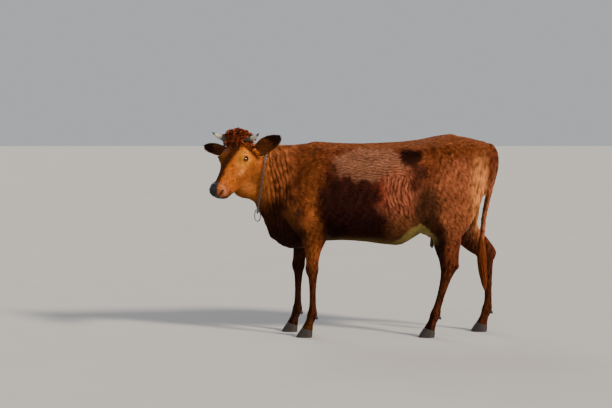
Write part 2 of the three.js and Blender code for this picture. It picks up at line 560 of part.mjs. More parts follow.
// The neck chain stands in a leaning plane round the neck, slack at the throat where a link hangs.
const chainMiddle = new THREE.Vector3(-561, -53, 1052);
const chainDown = new THREE.Vector3(-0.1554, 0, -0.9879);
const chainSpots = Array.from({ length: 30 }, (_, i) => {
  const turn = i / 30 * 2 * Math.PI;
  const ray = chainDown.clone().multiplyScalar(Math.cos(turn)).addScaledVector(across, Math.sin(turn));
  const slack = chainSize.slack * Math.max(Math.cos(turn), 0) ** 8;
  const clear = chainSize.linkWidth / 2 + chainSize.clearance + slack;
  return chainMiddle.clone().addScaledVector(ray, leaves(allFlesh, chainMiddle, ray, 400) + clear);
});
const chain = new THREE.TorusGeometry(1, 0.1, 5, 24);
closedTube(chain, new THREE.CatmullRomCurve3(chainSpots, true), chainSize.linkWidth / 2,
  chainDown.clone().cross(across));
put('collar_chain', solid(chain), 0x8f9194, 0.4, 0.9);

// The pear-shaped link goes round the chain at its lowest point: a small arc above, a wide one below.
const [lowest] = chainSpots;
const { length: ringLength, width: ringWidth, narrow, wire } = ringSize;
const pear = new THREE.CatmullRomCurve3(Array.from({ length: 24 }, (_, i) => {
  const turn = i / 24 * 2 * Math.PI;
  const high = THREE.MathUtils.smoothstep(Math.cos(turn), -1, 1);
  const radius = THREE.MathUtils.lerp(ringWidth, narrow, high) / 2 - wire / 2;
  const drop = (1 - high) * (ringLength - (ringWidth + narrow) / 2);
  return new THREE.Vector3(lowest.x + radius * Math.sin(turn), lowest.y,
    lowest.z + radius * Math.cos(turn) - drop);
}), true);
const ring = new THREE.TorusGeometry(1, 0.1, 5, 18);
closedTube(ring, pear, wire / 2, across);
put('collar_ring', solid(ring), 0x8f9194, 0.4, 0.9);

// Lays a torus along a closed curve that lies in the plane across `axis`.
function closedTube(torus, curve, radius, axis) {
  const { position, uv } = torus.attributes;
  for (let i = 0; i < position.count; i += 1) {
    const t = uv.getX(i) % 1;
    const turn = uv.getY(i) % 1 * 2 * Math.PI;
    const out = curve.getTangent(t).cross(axis).normalize();
    const spot = curve.getPoint(t).addScaledVector(out, Math.cos(turn) * radius)
      .addScaledVector(axis, Math.sin(turn) * radius);
    position.setXYZ(i, spot.x, spot.y, spot.z);
  }
}
put('trunk', trunk, hair);

// The finished meshes, scaled to the height wanted and set over the origin.
const cow = new THREE.Group();
for (const [name, { made, color, roughness, metalness }] of Object.entries(nodes)) {
  const { numProp, vertProperties, triVerts } = made.getMesh();
  const places = vertProperties.filter((_, i) => i % numProp < 3);
  const geometry = new THREE.BufferGeometry();
  geometry.setAttribute('position', new THREE.BufferAttribute(places, 3));
  geometry.setIndex(new THREE.BufferAttribute(triVerts, 1));
  const mesh = new THREE.Mesh(geometry, new THREE.MeshStandardMaterial({ color, roughness, metalness }));
  mesh.name = name;
  cow.add(mesh);
}
cow.scale.setScalar(withersHeight / measuredHeight);
const box = new THREE.Box3().setFromObject(cow, true);
const middle = box.getCenter(new THREE.Vector3());
cow.position.set(-middle.x, -middle.y, -box.min.z);
cow.updateMatrixWorld(true);
const group = new THREE.Group();
group.add(cow);

export default group;
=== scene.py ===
import math

import bmesh
import bpy
import numpy as np
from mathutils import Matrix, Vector


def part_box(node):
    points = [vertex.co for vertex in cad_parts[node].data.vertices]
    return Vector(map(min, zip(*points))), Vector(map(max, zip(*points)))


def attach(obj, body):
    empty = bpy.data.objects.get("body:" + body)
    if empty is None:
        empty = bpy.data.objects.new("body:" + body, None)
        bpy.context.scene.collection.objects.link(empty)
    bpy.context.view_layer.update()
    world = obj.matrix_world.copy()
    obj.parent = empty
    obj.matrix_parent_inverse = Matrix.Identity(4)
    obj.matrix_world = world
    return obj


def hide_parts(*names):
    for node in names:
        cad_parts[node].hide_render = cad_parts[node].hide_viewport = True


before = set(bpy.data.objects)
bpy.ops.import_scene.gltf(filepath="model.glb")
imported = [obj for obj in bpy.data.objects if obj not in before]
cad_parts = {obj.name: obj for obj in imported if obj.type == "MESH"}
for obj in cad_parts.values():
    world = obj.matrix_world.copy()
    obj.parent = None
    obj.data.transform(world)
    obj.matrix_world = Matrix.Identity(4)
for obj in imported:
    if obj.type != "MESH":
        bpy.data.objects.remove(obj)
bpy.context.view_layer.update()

# A young red cow as a museum model: one skin over its muscles, a short coat of mesh tufts, curls on the
# poll, a long tail switch, horn and hoof in their own layers, and a steel chain round the neck.
# Shapes are worked out in millimetres in the cow's own axes: the head points along -X, the left side
# faces -Y and Z is up. toRow turns them to metres in the frame that all the pieces share.
random = np.random.default_rng(41)
print("frame loaded")


# Small helpers.
def unit(v):  # each vector over its own length
    return v / np.maximum(np.linalg.norm(v, axis=-1, keepdims=True), 1e-9)


def softStep(x, low, high):  # 0 below low, 1 above high, smooth between; low may be the larger one
    t = np.clip((x - low) / (high - low), 0, 1)
    return t * t * (3 - 2 * t)


def bump(x, middle, width):  # a bell curve, 1 at its middle
    return np.exp(-((x - middle) / width) ** 2)


def waves(p, size, seed, octaves=5):  # soft random swells of about that size in mm, from -1 to 1
    turns = np.random.default_rng(seed)
    total = np.zeros(len(p))
    for _ in range(octaves):
        way = unit(turns.normal(size=3))
        pitch = size * (0.7 + 0.6 * turns.random())
        side = unit(np.cross(way, turns.normal(size=3)))
        bend = 1.3 * np.sin(p @ side * 2 * math.pi / (pitch * 2.3) + turns.random() * 6)
        total += np.sin(p @ way * 2 * math.pi / pitch + turns.random() * 6 + bend)
    return total / math.sqrt(octaves) / 1.4


def smoothMin(a, b, k):  # the smaller of two distances, melted together where they differ by under k
    near = np.maximum(k - np.abs(a - b), 0) / k
    return np.minimum(a, b) - near * near * k / 4


def rowsAt(rows, t):  # Catmull-Rom through rows of numbers at shares t, 0 to 1
    rows = np.asarray(rows, float)
    spot = np.clip(t, 0, 1) * (len(rows) - 1)
    i = np.minimum(np.floor(spot).astype(int), len(rows) - 2)
    u = (spot - i)[:, None]
    a, b, c, d = (rows[np.clip(i + k, 0, len(rows) - 1)] for k in (-1, 0, 1, 2))
    return b + 0.5 * u * (c - a + u * (2 * a - 5 * b + 4 * c - d + u * (3 * (b - c) + d - a)))


def roundEnd(t, begin, span, least):  # root of 1 - s^2: 1 up to begin, then a dome down to the root of least
    return np.sqrt(np.clip(1 - np.clip((t - begin) / span, 0, 1) ** 2, least, 1))


def towards(rows, goal, share):  # moves each row of numbers towards a goal by its share
    return rows + (goal - rows) * share[:, None]


def linear(hexColour):  # sRGB hex to the linear values that shaders use
    parts = np.array([int(hexColour[k:k + 2], 16) for k in (1, 3, 5)]) / 255
    return np.where(parts <= 0.04045, parts / 12.92, ((parts + 0.055) / 1.055) ** 2.4)


# The cow's axes.
headPose = {"poll": (-719, -150, 1280), "pitch": 44, "yaw": 60}
eyeShape = {"radius": 19, "along": 132, "height": -47, "side": 85}
pitch, yaw = math.radians(headPose["pitch"]), math.radians(headPose["yaw"])
faceward = np.array([-math.cos(pitch) * math.cos(yaw), -math.cos(pitch) * math.sin(yaw), -math.sin(pitch)])
browward = np.array([-math.sin(pitch) * math.cos(yaw), -math.sin(pitch) * math.sin(yaw), math.cos(pitch)])
leftward = np.array([math.sin(yaw), -math.cos(yaw), 0])
headAxes = np.array([faceward, browward, leftward])  # along the face, out of the forehead, to the left
poll = np.array(headPose["poll"], float)
across = np.array([0.0, 1, 0])


def inHead(spots):  # (along, height, side) in the head to the cow's axes
    spots = np.asarray(spots, float)
    if spots.shape[-1] == 2:
        spots = np.append(spots, 0)
    return poll + spots @ headAxes


def headPlace(p):  # the cow's axes to (along, height, side) in the head
    return (p - poll) @ headAxes.T


eyeCentres = {name: inHead((eyeShape["along"], eyeShape["height"], s * eyeShape["side"]))
              for name, s in (("left", 1), ("right", -1))}
eyeBox = np.array(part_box("eye_left"), float)
rowShift = eyeBox.mean(axis=0) * 1000 - eyeCentres["left"]


def toRow(p):  # the cow's axes in mm to metres in the frame that the pieces share
    return (p + rowShift) / 1000


# Muscles.
# A muscle is a chain of elliptical sections: x, y, z, half width to its side, half depth.
melt = {"body": 34, "hollow": 60, "hung": 14}  # mm over which muscles, hollows, and udder and tail blend
trunkSections = {  # x, top, bottom, half width, height of the widest, squareness above and below
    "chest": (-430, 1180, 622, 140, 850, 2.0, 2.0),
    "shoulder": (-320, 1232, 596, 182, 860, 1.8, 2.0),
    "withers": (-200, 1252, 606, 215, 850, 1.7, 2.0),
    "girth": (-60, 1243, 614, 258, 845, 1.85, 2.1),
    "ribs": (90, 1238, 608, 306, 845, 2.1, 2.2),
    "barrel": (230, 1241, 590, 333, 850, 2.2, 2.2),
    "belly": (330, 1249, 590, 326, 865, 2.4, 2.2),
    "flank": (440, 1266, 650, 282, 905, 2.7, 2.2),
    "hooks": (560, 1293, 720, 246, 1010, 2.9, 2.0),
    "croup": (650, 1301, 760, 236, 1020, 2.6, 2.0),
    "thurl": (750, 1288, 800, 212, 1030, 2.4, 2.0),
    "pins": (850, 1264, 880, 150, 1080, 2.2, 2.0),
    "tailhead": (905, 1238, 960, 92, 1110, 2.0, 2.0),
}
foreSections = {  # half width, half depth, out from the midline, then (x, z) in the near and the far leg
    "elbow": (58, 82, 150, (-232, 655), (-300, 655)),
    "forearm": (50, 55, 150, (-240, 570), (-318, 570)),
    "aboveKnee": (38, 43, 147, (-245, 490), (-330, 490)),
    "knee": (38, 44, 145, (-247, 440), (-336, 440)),
    "belowKnee": (28, 31, 144, (-243, 388), (-336, 388)),
    "cannon": (22, 23, 143, (-243, 300), (-338, 300)),
    "cannonFoot": (24, 24, 142, (-243, 205), (-340, 205)),
    "fetlock": (31, 33, 142, (-246, 150), (-343, 150)),
    "pastern": (32, 28, 142, (-262, 100), (-359, 100)),
    "coronet": (41, 37, 142, (-277, 52), (-374, 52)),
}
hindSections = {
    "croup": (82, 140, 118, (722, 1100), (722, 1100)),
    "rump": (102, 188, 138, (676, 980), (692, 980)),
    "thigh": (98, 178, 150, (644, 860), (690, 860)),
    "ham": (80, 145, 154, (620, 750), (716, 755)),
    "gaskin": (58, 96, 152, (614, 652), (764, 665)),
    "shank": (45, 74, 150, (618, 572), (818, 594)),
    "aboveHock": (36, 60, 148, (626, 512), (866, 550)),
    "hock": (37, 56, 147, (632, 458), (896, 502)),
    "belowHock": (29, 37, 146, (615, 385), (909, 427)),
    "cannon": (22, 27, 146, (588, 285), (914, 312)),
    "cannonFoot": (24, 26, 146, (563, 200), (914, 206)),
    "fetlock": (32, 34, 146, (549, 150), (908, 152)),
    "pastern": (33, 29, 146, (530, 100), (891, 100)),
    "coronet": (41, 37, 146, (512, 52), (875, 52)),
}


def muscle(rows, sideAxis=across, steps=4, reach=110):  # rows drawn finer, in a box reach mm larger
    rows = np.asarray(rows, float)
    count = (len(rows) - 1) * steps if len(rows) > 2 else 1
    fine = rowsAt(rows, np.linspace(0, 1, count + 1))
    thick = fine[:, 3:].max(axis=1)[:, None] + reach
    return {"rows": fine, "side": np.asarray(sideAxis, float),
            "low": (fine[:, :3] - thick).min(axis=0), "high": (fine[:, :3] + thick).max(axis=0)}


def muscleDistance(part, p):  # below zero inside, close to true near the surface
    nearest = np.full(len(p), np.inf)
    for start, end in zip(part["rows"][:-1], part["rows"][1:]):
        run = end[:3] - start[:3]
        tangent = unit(run)
        side = unit(part["side"] - tangent * (tangent @ part["side"]))
        deep = np.cross(tangent, side)
        offset = p - start[:3]
        u = np.clip(offset @ run / (run @ run), 0, 1)
        w = start[3] + (end[3] - start[3]) * u
        h = start[4] + (end[4] - start[4]) * u
        e = np.minimum(w, h)
        x, y = offset @ side / w, offset @ deep / h
        z = (offset @ tangent - u * np.linalg.norm(run)) / e
        g = np.sqrt(x * x + y * y + z * z)
        slope = np.sqrt((x / w) ** 2 + (y / h) ** 2 + (z / e) ** 2)
        nearest = np.minimum(nearest, (g - 1) * g / np.maximum(slope, 1e-9))
    return nearest


def trunkPart(sections, endRound=42, count=201):  # the trunk's sections drawn finer along x
    rows = np.array(list(sections.values()), float)
    x = np.linspace(rows[0, 0], rows[-1, 0], count)
    share = np.interp(x, rows[:, 0], np.linspace(0, 1, len(rows)))
    return {"trunk": rowsAt(rows, share), "x": x, "round": endRound,
            "low": np.array([rows[0, 0] - 160, -460, 470]), "high": np.array([rows[-1, 0] + 160, 460, 1420])}


def trunkDistance(part, p):  # superellipse sections, squarer or flatter above and below
    x = np.clip(p[:, 0], part["x"][0], part["x"][-1])
    top, bottom, half, widest, above, below = (
        np.interp(x, part["x"], part["trunk"][:, k]) for k in range(1, 7))
    rise = p[:, 2] - widest
    reach = np.where(rise > 0, top - widest, widest - bottom)
    n = np.where(rise > 0, above, below)
    a, b = np.abs(p[:, 1]) / half, np.abs(rise) / reach
    g = np.maximum((a ** n + b ** n) ** (1 / n), 1e-6)
    slope = g ** (1 - n) * np.hypot(a ** (n - 1) / half, b ** (n - 1) / reach)
    c = (p[:, 0] - x) / part["round"]
    whole = np.hypot(g, c)
    return (whole - 1) / np.maximum(np.hypot(g / whole * slope, c / whole / part["round"]), 1e-6)


def onSide(rows, s):  # y takes the sign of the side
    return np.asarray(rows, float) * np.array([1, s, 1, 1, 1])


def paired(rows):  # the same muscle on both sides
    return [muscle(onSide(rows, s)) for s in (-1, 1)]


def headMuscle(rows, sideAxis=leftward, steps=8):  # rows given along, out of and across the head
    rows = np.asarray(rows, float)
    return muscle(np.hstack([inHead(rows[:, :3]), rows[:, 3:]]), sideAxis, steps)


def headPair(rows):  # the same muscle on both sides of the head
    return [headMuscle(np.asarray(rows, float) * np.array([1, 1, s, 1, 1])) for s in (1, -1)]


def legMuscle(sections, s):  # each leg's stance gives x and z, and y is its distance from the midline
    rows = [(*(near if s < 0 else far), side, deep, out) for side, deep, out, near, far in sections.values()]
    x, z, side, deep, out = np.array(rows, float).T
    return muscle(np.stack([x, s * out, z, side, deep], axis=1))


def hockTendon(s, reach):  # the point of the hock and the tendon that runs up from it
    (hockX, hockZ), (gaskinX, gaskinZ) = (hindSections[k][3 if s < 0 else 4] for k in ("hock", "gaskin"))
    return muscle(onSide([(hockX + 42, 147, hockZ + 10, 19, 24), (hockX + 46, 147, hockZ + 40, 15, 16),
                          (gaskinX + reach, 147, gaskinZ - 20, 14, 22)], s))


trunkParts = [
    trunkPart(trunkSections),
    *paired([(548, 196, 1201, 34, 36), (606, 180, 1215, 34, 36)]),  # hook bones
    *paired([(880, 84, 1180, 30, 32), (850, 90, 1170, 34, 36)]),  # pin bones
    muscle([(-230, 0, 1212, 40, 40), (60, 0, 1205, 40, 36), (420, 0, 1226, 46, 38), (640, 0, 1262, 44, 38)]),
    muscle([(850, 0, 1204, 40, 42), (902, 0, 1190, 34, 40)]),  # root of the tail
]
neckParts = [
    muscle([(-290, 0, 925, 160, 292), (-420, -12, 985, 126, 250), (-520, -38, 1035, 104, 204),
            (-600, -68, 1075, 92, 168), (-652, -92, 1095, 86, 148)]),
    muscle([(-200, 0, 1198, 44, 42), (-400, -10, 1195, 38, 42), (-540, -45, 1196, 40, 42),
            (-640, -85, 1195, 44, 42)]),  # crest
    muscle([(-250, 0, 655, 84, 84), (-380, 0, 650, 84, 88), (-462, 0, 690, 64, 76)]),  # brisket
    muscle([(-462, 0, 700, 46, 66), (-522, -10, 770, 28, 52), (-560, -26, 850, 24, 44)]),  # dewlap
]
headParts = [
    headMuscle([(-8, -62, 0, 66, 54), (45, -72, 0, 82, 72), (112, -80, 0, 87, 80), (186, -78, 0, 70, 71),
                (272, -66, 0, 50, 55), (346, -63, 0, 45, 48), (388, -62, 0, 50, 44), (404, -64, 0, 44, 34)]),
    headMuscle([(95, -150, 0, 62, 58), (168, -158, 0, 56, 52), (250, -144, 0, 45, 44),
                (320, -127, 0, 39, 36), (378, -106, 0, 40, 26)]),  # lower jaw
    *headPair([(105, -114, 48, 34, 60), (190, -120, 42, 28, 50)]),  # cheek
    *headPair([(92, -42, 65, 28, 28), (134, -42, 69, 28, 24)]),  # brow
    *headPair([(142, -74, 71, 20, 20), (224, -92, 53, 14, 16)]),  # cheekbone
    *headPair([(22, -72, 66, 30, 36), (18, -80, 84, 19, 22)]),  # root of the ear
    *headPair([(16, -14, 40, 36, 36), (14, -8, 70, 28, 28)]),  # root of the horn
    headMuscle([(-10, 10, -76, 34, 34), (-14, 26, -34, 42, 42), (-14, 26, 34, 42, 42), (-10, 10, 76, 34, 34)],
               faceward),  # poll
    headMuscle([(8, -24, 0, 72, 40), (64, -42, 0, 64, 34)]),  # forelock
    *headPair([(236, -104, 34, 18, 40), (318, -100, 30, 19, 34), (384, -94, 30, 20, 24)]),  # lips
    *headPair([(384, -48, 22, 29, 28), (398, -50, 23, 25, 24)]),  # nose pad
    headMuscle([(380, -122, 0, 33, 15), (356, -126, 0, 32, 16)]),  # chin
]
throatParts = [
    muscle([(*inHead((332, -134)), 30, 30), (*inHead((262, -168)), 34, 36), (*inHead((185, -196)), 42, 47),
            (-700, -148, 960, 48, 54), (-630, -84, 944, 46, 58)]),
    muscle([(*inHead((78, -112, 60)), 46, 52), (-608, -110, 1105, 52, 66),
            (-540, -78, 1075, 50, 80)]),  # left side of the throat
]
legParts = []
for s, reach in ((-1, 74), (1, 92)):
    legParts += [
        legMuscle(foreSections, s),
        muscle(onSide([(-165, 86, 1170, 44, 74), (-240, 120, 1040, 58, 100), (-325, 144, 900, 60, 104)], s)),
        muscle(onSide([(-372, 140, 832, 66, 76), (-300, 158, 750, 62, 88), (-232, 152, 672, 56, 82)], s)),
        legMuscle(hindSections, s),
        hockTendon(s, reach),
        muscle(onSide([(560, 190, 760, 60, 74), (502, 190, 728, 38, 58), (452, 172, 706, 24, 44)], s)),
    ]
tailPart = muscle([(892, 0, 1214, 36, 36), (930, -4, 1172, 31, 30), (938, -10, 1090, 25, 25),
                   (915, -15, 980, 22, 21), (888, -20, 870, 19, 19), (868, -22, 760, 18, 18),
                   (858, -22, 640, 17, 17), (857, -22, 600, 14, 14)])
udderPart = muscle([(540, 0, 690, 88, 62), (640, 0, 672, 96, 64), (720, 0, 720, 70, 60)])
hollowParts = paired([(335, 322, 1165, 44, 56), (415, 304, 1180, 44, 58)])
bodyParts = [*trunkParts, *neckParts, *headParts, *throatParts, *legParts]


def partDistance(part, p):  # the trunk has a formula of its own
    return trunkDistance(part, p) if "trunk" in part else muscleDistance(part, p)


def within(part, p):  # the points near enough to a muscle for it to matter
    return np.nonzero(((p > part["low"]) & (p < part["high"])).all(axis=1))[0]


def fleshDistance(p):  # muscles melted together, hollows scooped out, then udder and tail melted on
    d = np.full(len(p), 1e4)
    for parts, sign, k in ((bodyParts, 1, melt["body"]), (hollowParts, -1, melt["hollow"]),
                           ([udderPart, tailPart], 1, melt["hung"])):
        for part in parts:
            near = within(part, p)
            if len(near):
                d[near] = sign * smoothMin(sign * d[near], partDistance(part, p[near]), k)
    return d


# Regions and coat depth.
headCut = {"place": (-664, -73, 1185), "way": (-0.567, -0.81, -0.145)}  # the plane between neck and head
tailPath = {"z": [600, 760, 980, 1090, 1180], "x": [858, 868, 915, 938, 925], "y": -18}


def fromTail(p):  # how far behind and how far right of the tail's middle line each point is
    x, y, z = p.T
    return x - np.interp(z, tailPath["z"], tailPath["x"]), y - tailPath["y"]


regionEdges = {  # in mm, where each region begins and where it is whole
    "head": (-30, 50), "muzzle": (372, 396), "neckBack": (-330, -430), "neckLow": (660, 760),
    "legs": (640, 560), "tailRound": (70, 40), "tailFront": (830, 850), "tailTop": (1235, 1190),
    "pollFront": (46, 20), "pollLow": (-30, 6), "pollSides": (112, 84), "udderRound": (14, 0),
    "udderSides": (112, 84),
}


def edgeStep(value, name):  # a soft step between the edges of that name
    return softStep(value, *regionEdges[name])


def regions(p):  # how far each point belongs to each region, from 0 to 1, and its place in the head
    x, y, z = p.T
    f, u, l = headPlace(p).T
    beyond = (p - np.array(headCut["place"])) @ np.array(headCut["way"])
    head = edgeStep(beyond, "head")
    muzzle = head * edgeStep(f + 0.35 * (u + 60), "muzzle")
    neck = (1 - head) * edgeStep(x, "neckBack") * edgeStep(z, "neckLow")
    legs = edgeStep(z, "legs") * (1 - head)
    tail = edgeStep(np.hypot(*fromTail(p)), "tailRound") * edgeStep(x, "tailFront") * edgeStep(z, "tailTop")
    pollTop = head * edgeStep(f, "pollFront") * edgeStep(u, "pollLow") * edgeStep(np.abs(l), "pollSides")
    udder = np.zeros(len(p))
    near = within(udderPart, p)
    if len(near):
        away = muscleDistance(udderPart, p[near])
        udder[near] = edgeStep(away, "udderRound") * edgeStep(np.abs(y[near]), "udderSides")
    return {"head": head, "muzzle": muzzle, "neck": neck, "legs": legs, "tail": tail, "poll": pollTop,
            "udder": udder, "f": f, "u": u, "l": l}


coatDepth = {"trunk": 6.0, "legs": 3.5, "face": 3.0, "muzzle": 0.8, "poll": 18.0, "tail": 3.5, "udder": 1.5}


def depthOf(r):  # how deep the skin lies below the tips of the coat
    depth = coatDepth["trunk"] + (coatDepth["legs"] - coatDepth["trunk"]) * r["legs"]
    for name, share in (("tail", r["tail"]), ("udder", r["udder"]), ("face", r["head"]),
                        ("poll", r["poll"]), ("muzzle", r["muzzle"])):
        depth = depth + (coatDepth[name] - depth) * share
    return depth


# Skin detail: lids, nostrils, mouth, folds.
lidShape = {"ball": 21.4, "half": 17.0, "open": 9.4, "gaze": (0.3, 0.36, 0.885), "long": (0.9, 0.434, 0)}
gaze = unit(np.array(lidShape["gaze"], float))  # in the head: along the face, out of the brow, sideways
lidLong = unit(np.array(lidShape["long"]) - gaze * (gaze @ np.array(lidShape["long"])))
lidUp = np.cross(gaze, lidLong)
nostrilParts = headPair([(441, -68, 23, 8, 7), (433, -56, 34, 11, 9), (416, -45, 43, 8, 7),
                         (402, -44, 47, 4, 4)])


def eyeParts(f, u, l):  # the place round one eye: out of the socket, along it, above it, and lid opening
    offset = np.stack([f - eyeShape["along"], u - eyeShape["height"], np.abs(l) - eyeShape["side"]], axis=-1)
    out, along, above = offset @ gaze, offset @ lidLong, offset @ lidUp
    opening = np.abs(above) - lidShape["open"] * (1 - (along / lidShape["half"]) ** 2)
    return out, along, above, opening / np.sqrt(1 + (lidShape["open"] / 9 * along / lidShape["half"]) ** 2)


lidFolds = {  # creases of each lid: distance from its edge, width and depth
    "upper": ((7, 1.9, 1.6), (12.5, 2.2, 0.8)), "lower": ((6, 1.7, 1.1), (11, 2.0, 0.9))}
mouth = {"height": -103, "drop": 8, "depth": 4.0, "width": 3.6, "lipDepth": 1.6, "muzzleGroove": 1.8}


def headDetail(p, d):  # the flesh with sockets and lids melted on, then mouth, nostrils and folds cut in
    f, u, l = headPlace(p).T
    out, along, above, opening = eyeParts(f, u, l)
    ball = np.sqrt(out ** 2 + along ** 2 + above ** 2)
    eyeNear = softStep(ball, 62, 40) * softStep(out, -14, 2)
    orbit = np.sqrt((out + 10) ** 2 + along ** 2 + (above - 3) ** 2) - 28  # the bone round the lids
    d = smoothMin(d, orbit, 14)
    d = d + eyeNear * (smoothMin(d, ball - lidShape["ball"], 8) - d)
    upper, lower = (sum(depth * bump(opening, middle, width) for middle, width, depth in lidFolds[lid])
                    for lid in ("upper", "lower"))
    crease = np.where(above > 0, upper, lower)
    d = d + eyeNear * (crease - 0.7 * bump(opening, 2.2, 1.8))
    slit = np.maximum(opening, 2 - out)
    d = d - eyeNear * (smoothMin(-d, slit, 2.4) + d)
    d = d + 2.0 * bump(f, 64, 24) * bump(u, -62, 22) * softStep(np.abs(l), 50, 80)  # hollow of the temple
    mouthLine = mouth["height"] - mouth["drop"] * softStep(f, 350, 300)
    d = d + mouth["depth"] * bump(u, mouthLine, mouth["width"]) * softStep(f, 286, 306)
    d = d - mouth["lipDepth"] * bump(u, mouthLine - 9, 7) * softStep(f, 330, 360)  # lower lip
    d = d + mouth["muzzleGroove"] * bump(l, 0, 3.5) * softStep(f, 392, 402) * softStep(u, -104, -92)
    for part in nostrilParts:
        near = within(part, p)
        pit = muscleDistance(part, p[near])
        d[near] = -smoothMin(-(d[near] - 2.4 * bump(pit, 5, 4.5)), pit, 5)
    folds = np.sin(f / 5.2 + 0.06 * u + 1.5 * waves(p, 60, 3))
    d = d + 0.5 * folds * softStep(f, 330, 350) * softStep(f, 395, 375) * softStep(u, -105, -80)
    return d


neckFold = {"pitch": 25, "depth": 3.4, "lean": 0.16, "looseDepth": 2.0}


def neckPhase(p):  # how far along the upright folds of the neck each point is, as an angle
    x, _, z = p.T
    return (x + neckFold["lean"] * (z - 1000) + 9 * waves(p, 190, 7)) / neckFold["pitch"] * 2 * math.pi


def neckDetail(p, d, neck):  # narrow valleys of (half + half cosine) squared, and slow folds low down
    x, _, z = p.T
    phase = neckPhase(p)
    share = neck * softStep(x, -385, -440) * softStep(z, 1205, 1150) * (0.65 + 0.35 * waves(p, 150, 8))
    loose = softStep(z, 1000, 800) * neck
    d = d + neckFold["depth"] * share * (0.5 + 0.5 * np.cos(phase)) ** 2
    return d + neckFold["looseDepth"] * loose * np.sin(phase * 0.62 + 1.0)


locks = {"pitch": 24, "wave": 46, "swing": 14, "depth": 1.5, "ripple": 15}  # upright locks, level ripples


def bodyDetail(p, d):  # licked locks on the flank, the groove behind the shoulder, and slow swells
    x, y, z = p.T
    flank = bump(x, 300, 95) * bump(z, 940, 150) * softStep(np.abs(y), 180, 240)
    swing = locks["swing"] * np.sin(z / locks["wave"])
    lock = np.sin((x + swing + 5 * waves(p, 120, 12)) / locks["pitch"] * 2 * math.pi)
    d = d + locks["depth"] * flank * lock
    shoulder = bump(x, -215, 26) * softStep(z, 700, 820) * softStep(z, 1130, 1010)
    d = d + 3.2 * shoulder * softStep(np.abs(y), 100, 150)  # the groove behind the shoulder
    return d + 1.2 * waves(p, 210, 14)


def skinDistance(p):  # the flesh sunk by the depth of the coat, with the detail of each region
    d = fleshDistance(p)
    near = np.nonzero(np.abs(d) < 60)[0]
    if len(near) == 0:
        return d
    q = p[near]
    r = regions(q)
    fine = d[near] + depthOf(r)
    inHeadBox = np.nonzero(r["head"] > 0)[0]
    fine[inHeadBox] = headDetail(q[inHeadBox], fine[inHeadBox])
    inNeck = np.nonzero((r["head"] < 1) & (q[:, 0] < -300))[0]
    fine[inNeck] = neckDetail(q[inNeck], fine[inNeck], r["neck"][inNeck])
    inBody = np.nonzero((q[:, 0] > -330) & (q[:, 2] > 600))[0]
    fine[inBody] = bodyDetail(q[inBody], fine[inBody])
    d[near] = fine
    return d


# A grid that is finer where the cow is finer.
# Each lens shrinks the cells round its centre to a share of their size and fades to full size outside.
class Lens:
    def __init__(self, centre, radius, share, fade):
        self.centre, grid = np.asarray(centre, float), np.linspace(0, 9000, 9001)
        u = np.clip((grid - radius / share) / fade, 0, 1)
        slope = share + (1 - share) * u * u * (3 - 2 * u)
        self.outer, self.inner = grid, np.concatenate([[0], np.cumsum((slope[1:] + slope[:-1]) / 2)])

    def toCow(self, q):  # from the even grid to the cow's axes
        return self.moved(q, self.outer, self.inner)

    def toGrid(self, p):
        return self.moved(p, self.inner, self.outer)

    def moved(self, q, given, wanted):  # centre + offset x (wanted radius / given radius)
        offset = q - self.centre
        r = np.maximum(np.linalg.norm(offset, axis=1), 1e-6)
        return self.centre + offset * (np.interp(r, given, wanted) / r)[:, None]


cubeCorners = [(i, j, k) for i in (0, 1) for j in (0, 1) for k in (0, 1)]


def atCorner(block, corner):  # the values at one corner of every cell of a grid
    return block[tuple(slice(start, start + size - 1) for start, size in zip(corner, block.shape))]


def grown(block, times):  # every value of a grid repeated along each axis
    return block.repeat(times, 0).repeat(times, 1).repeat(times, 2)


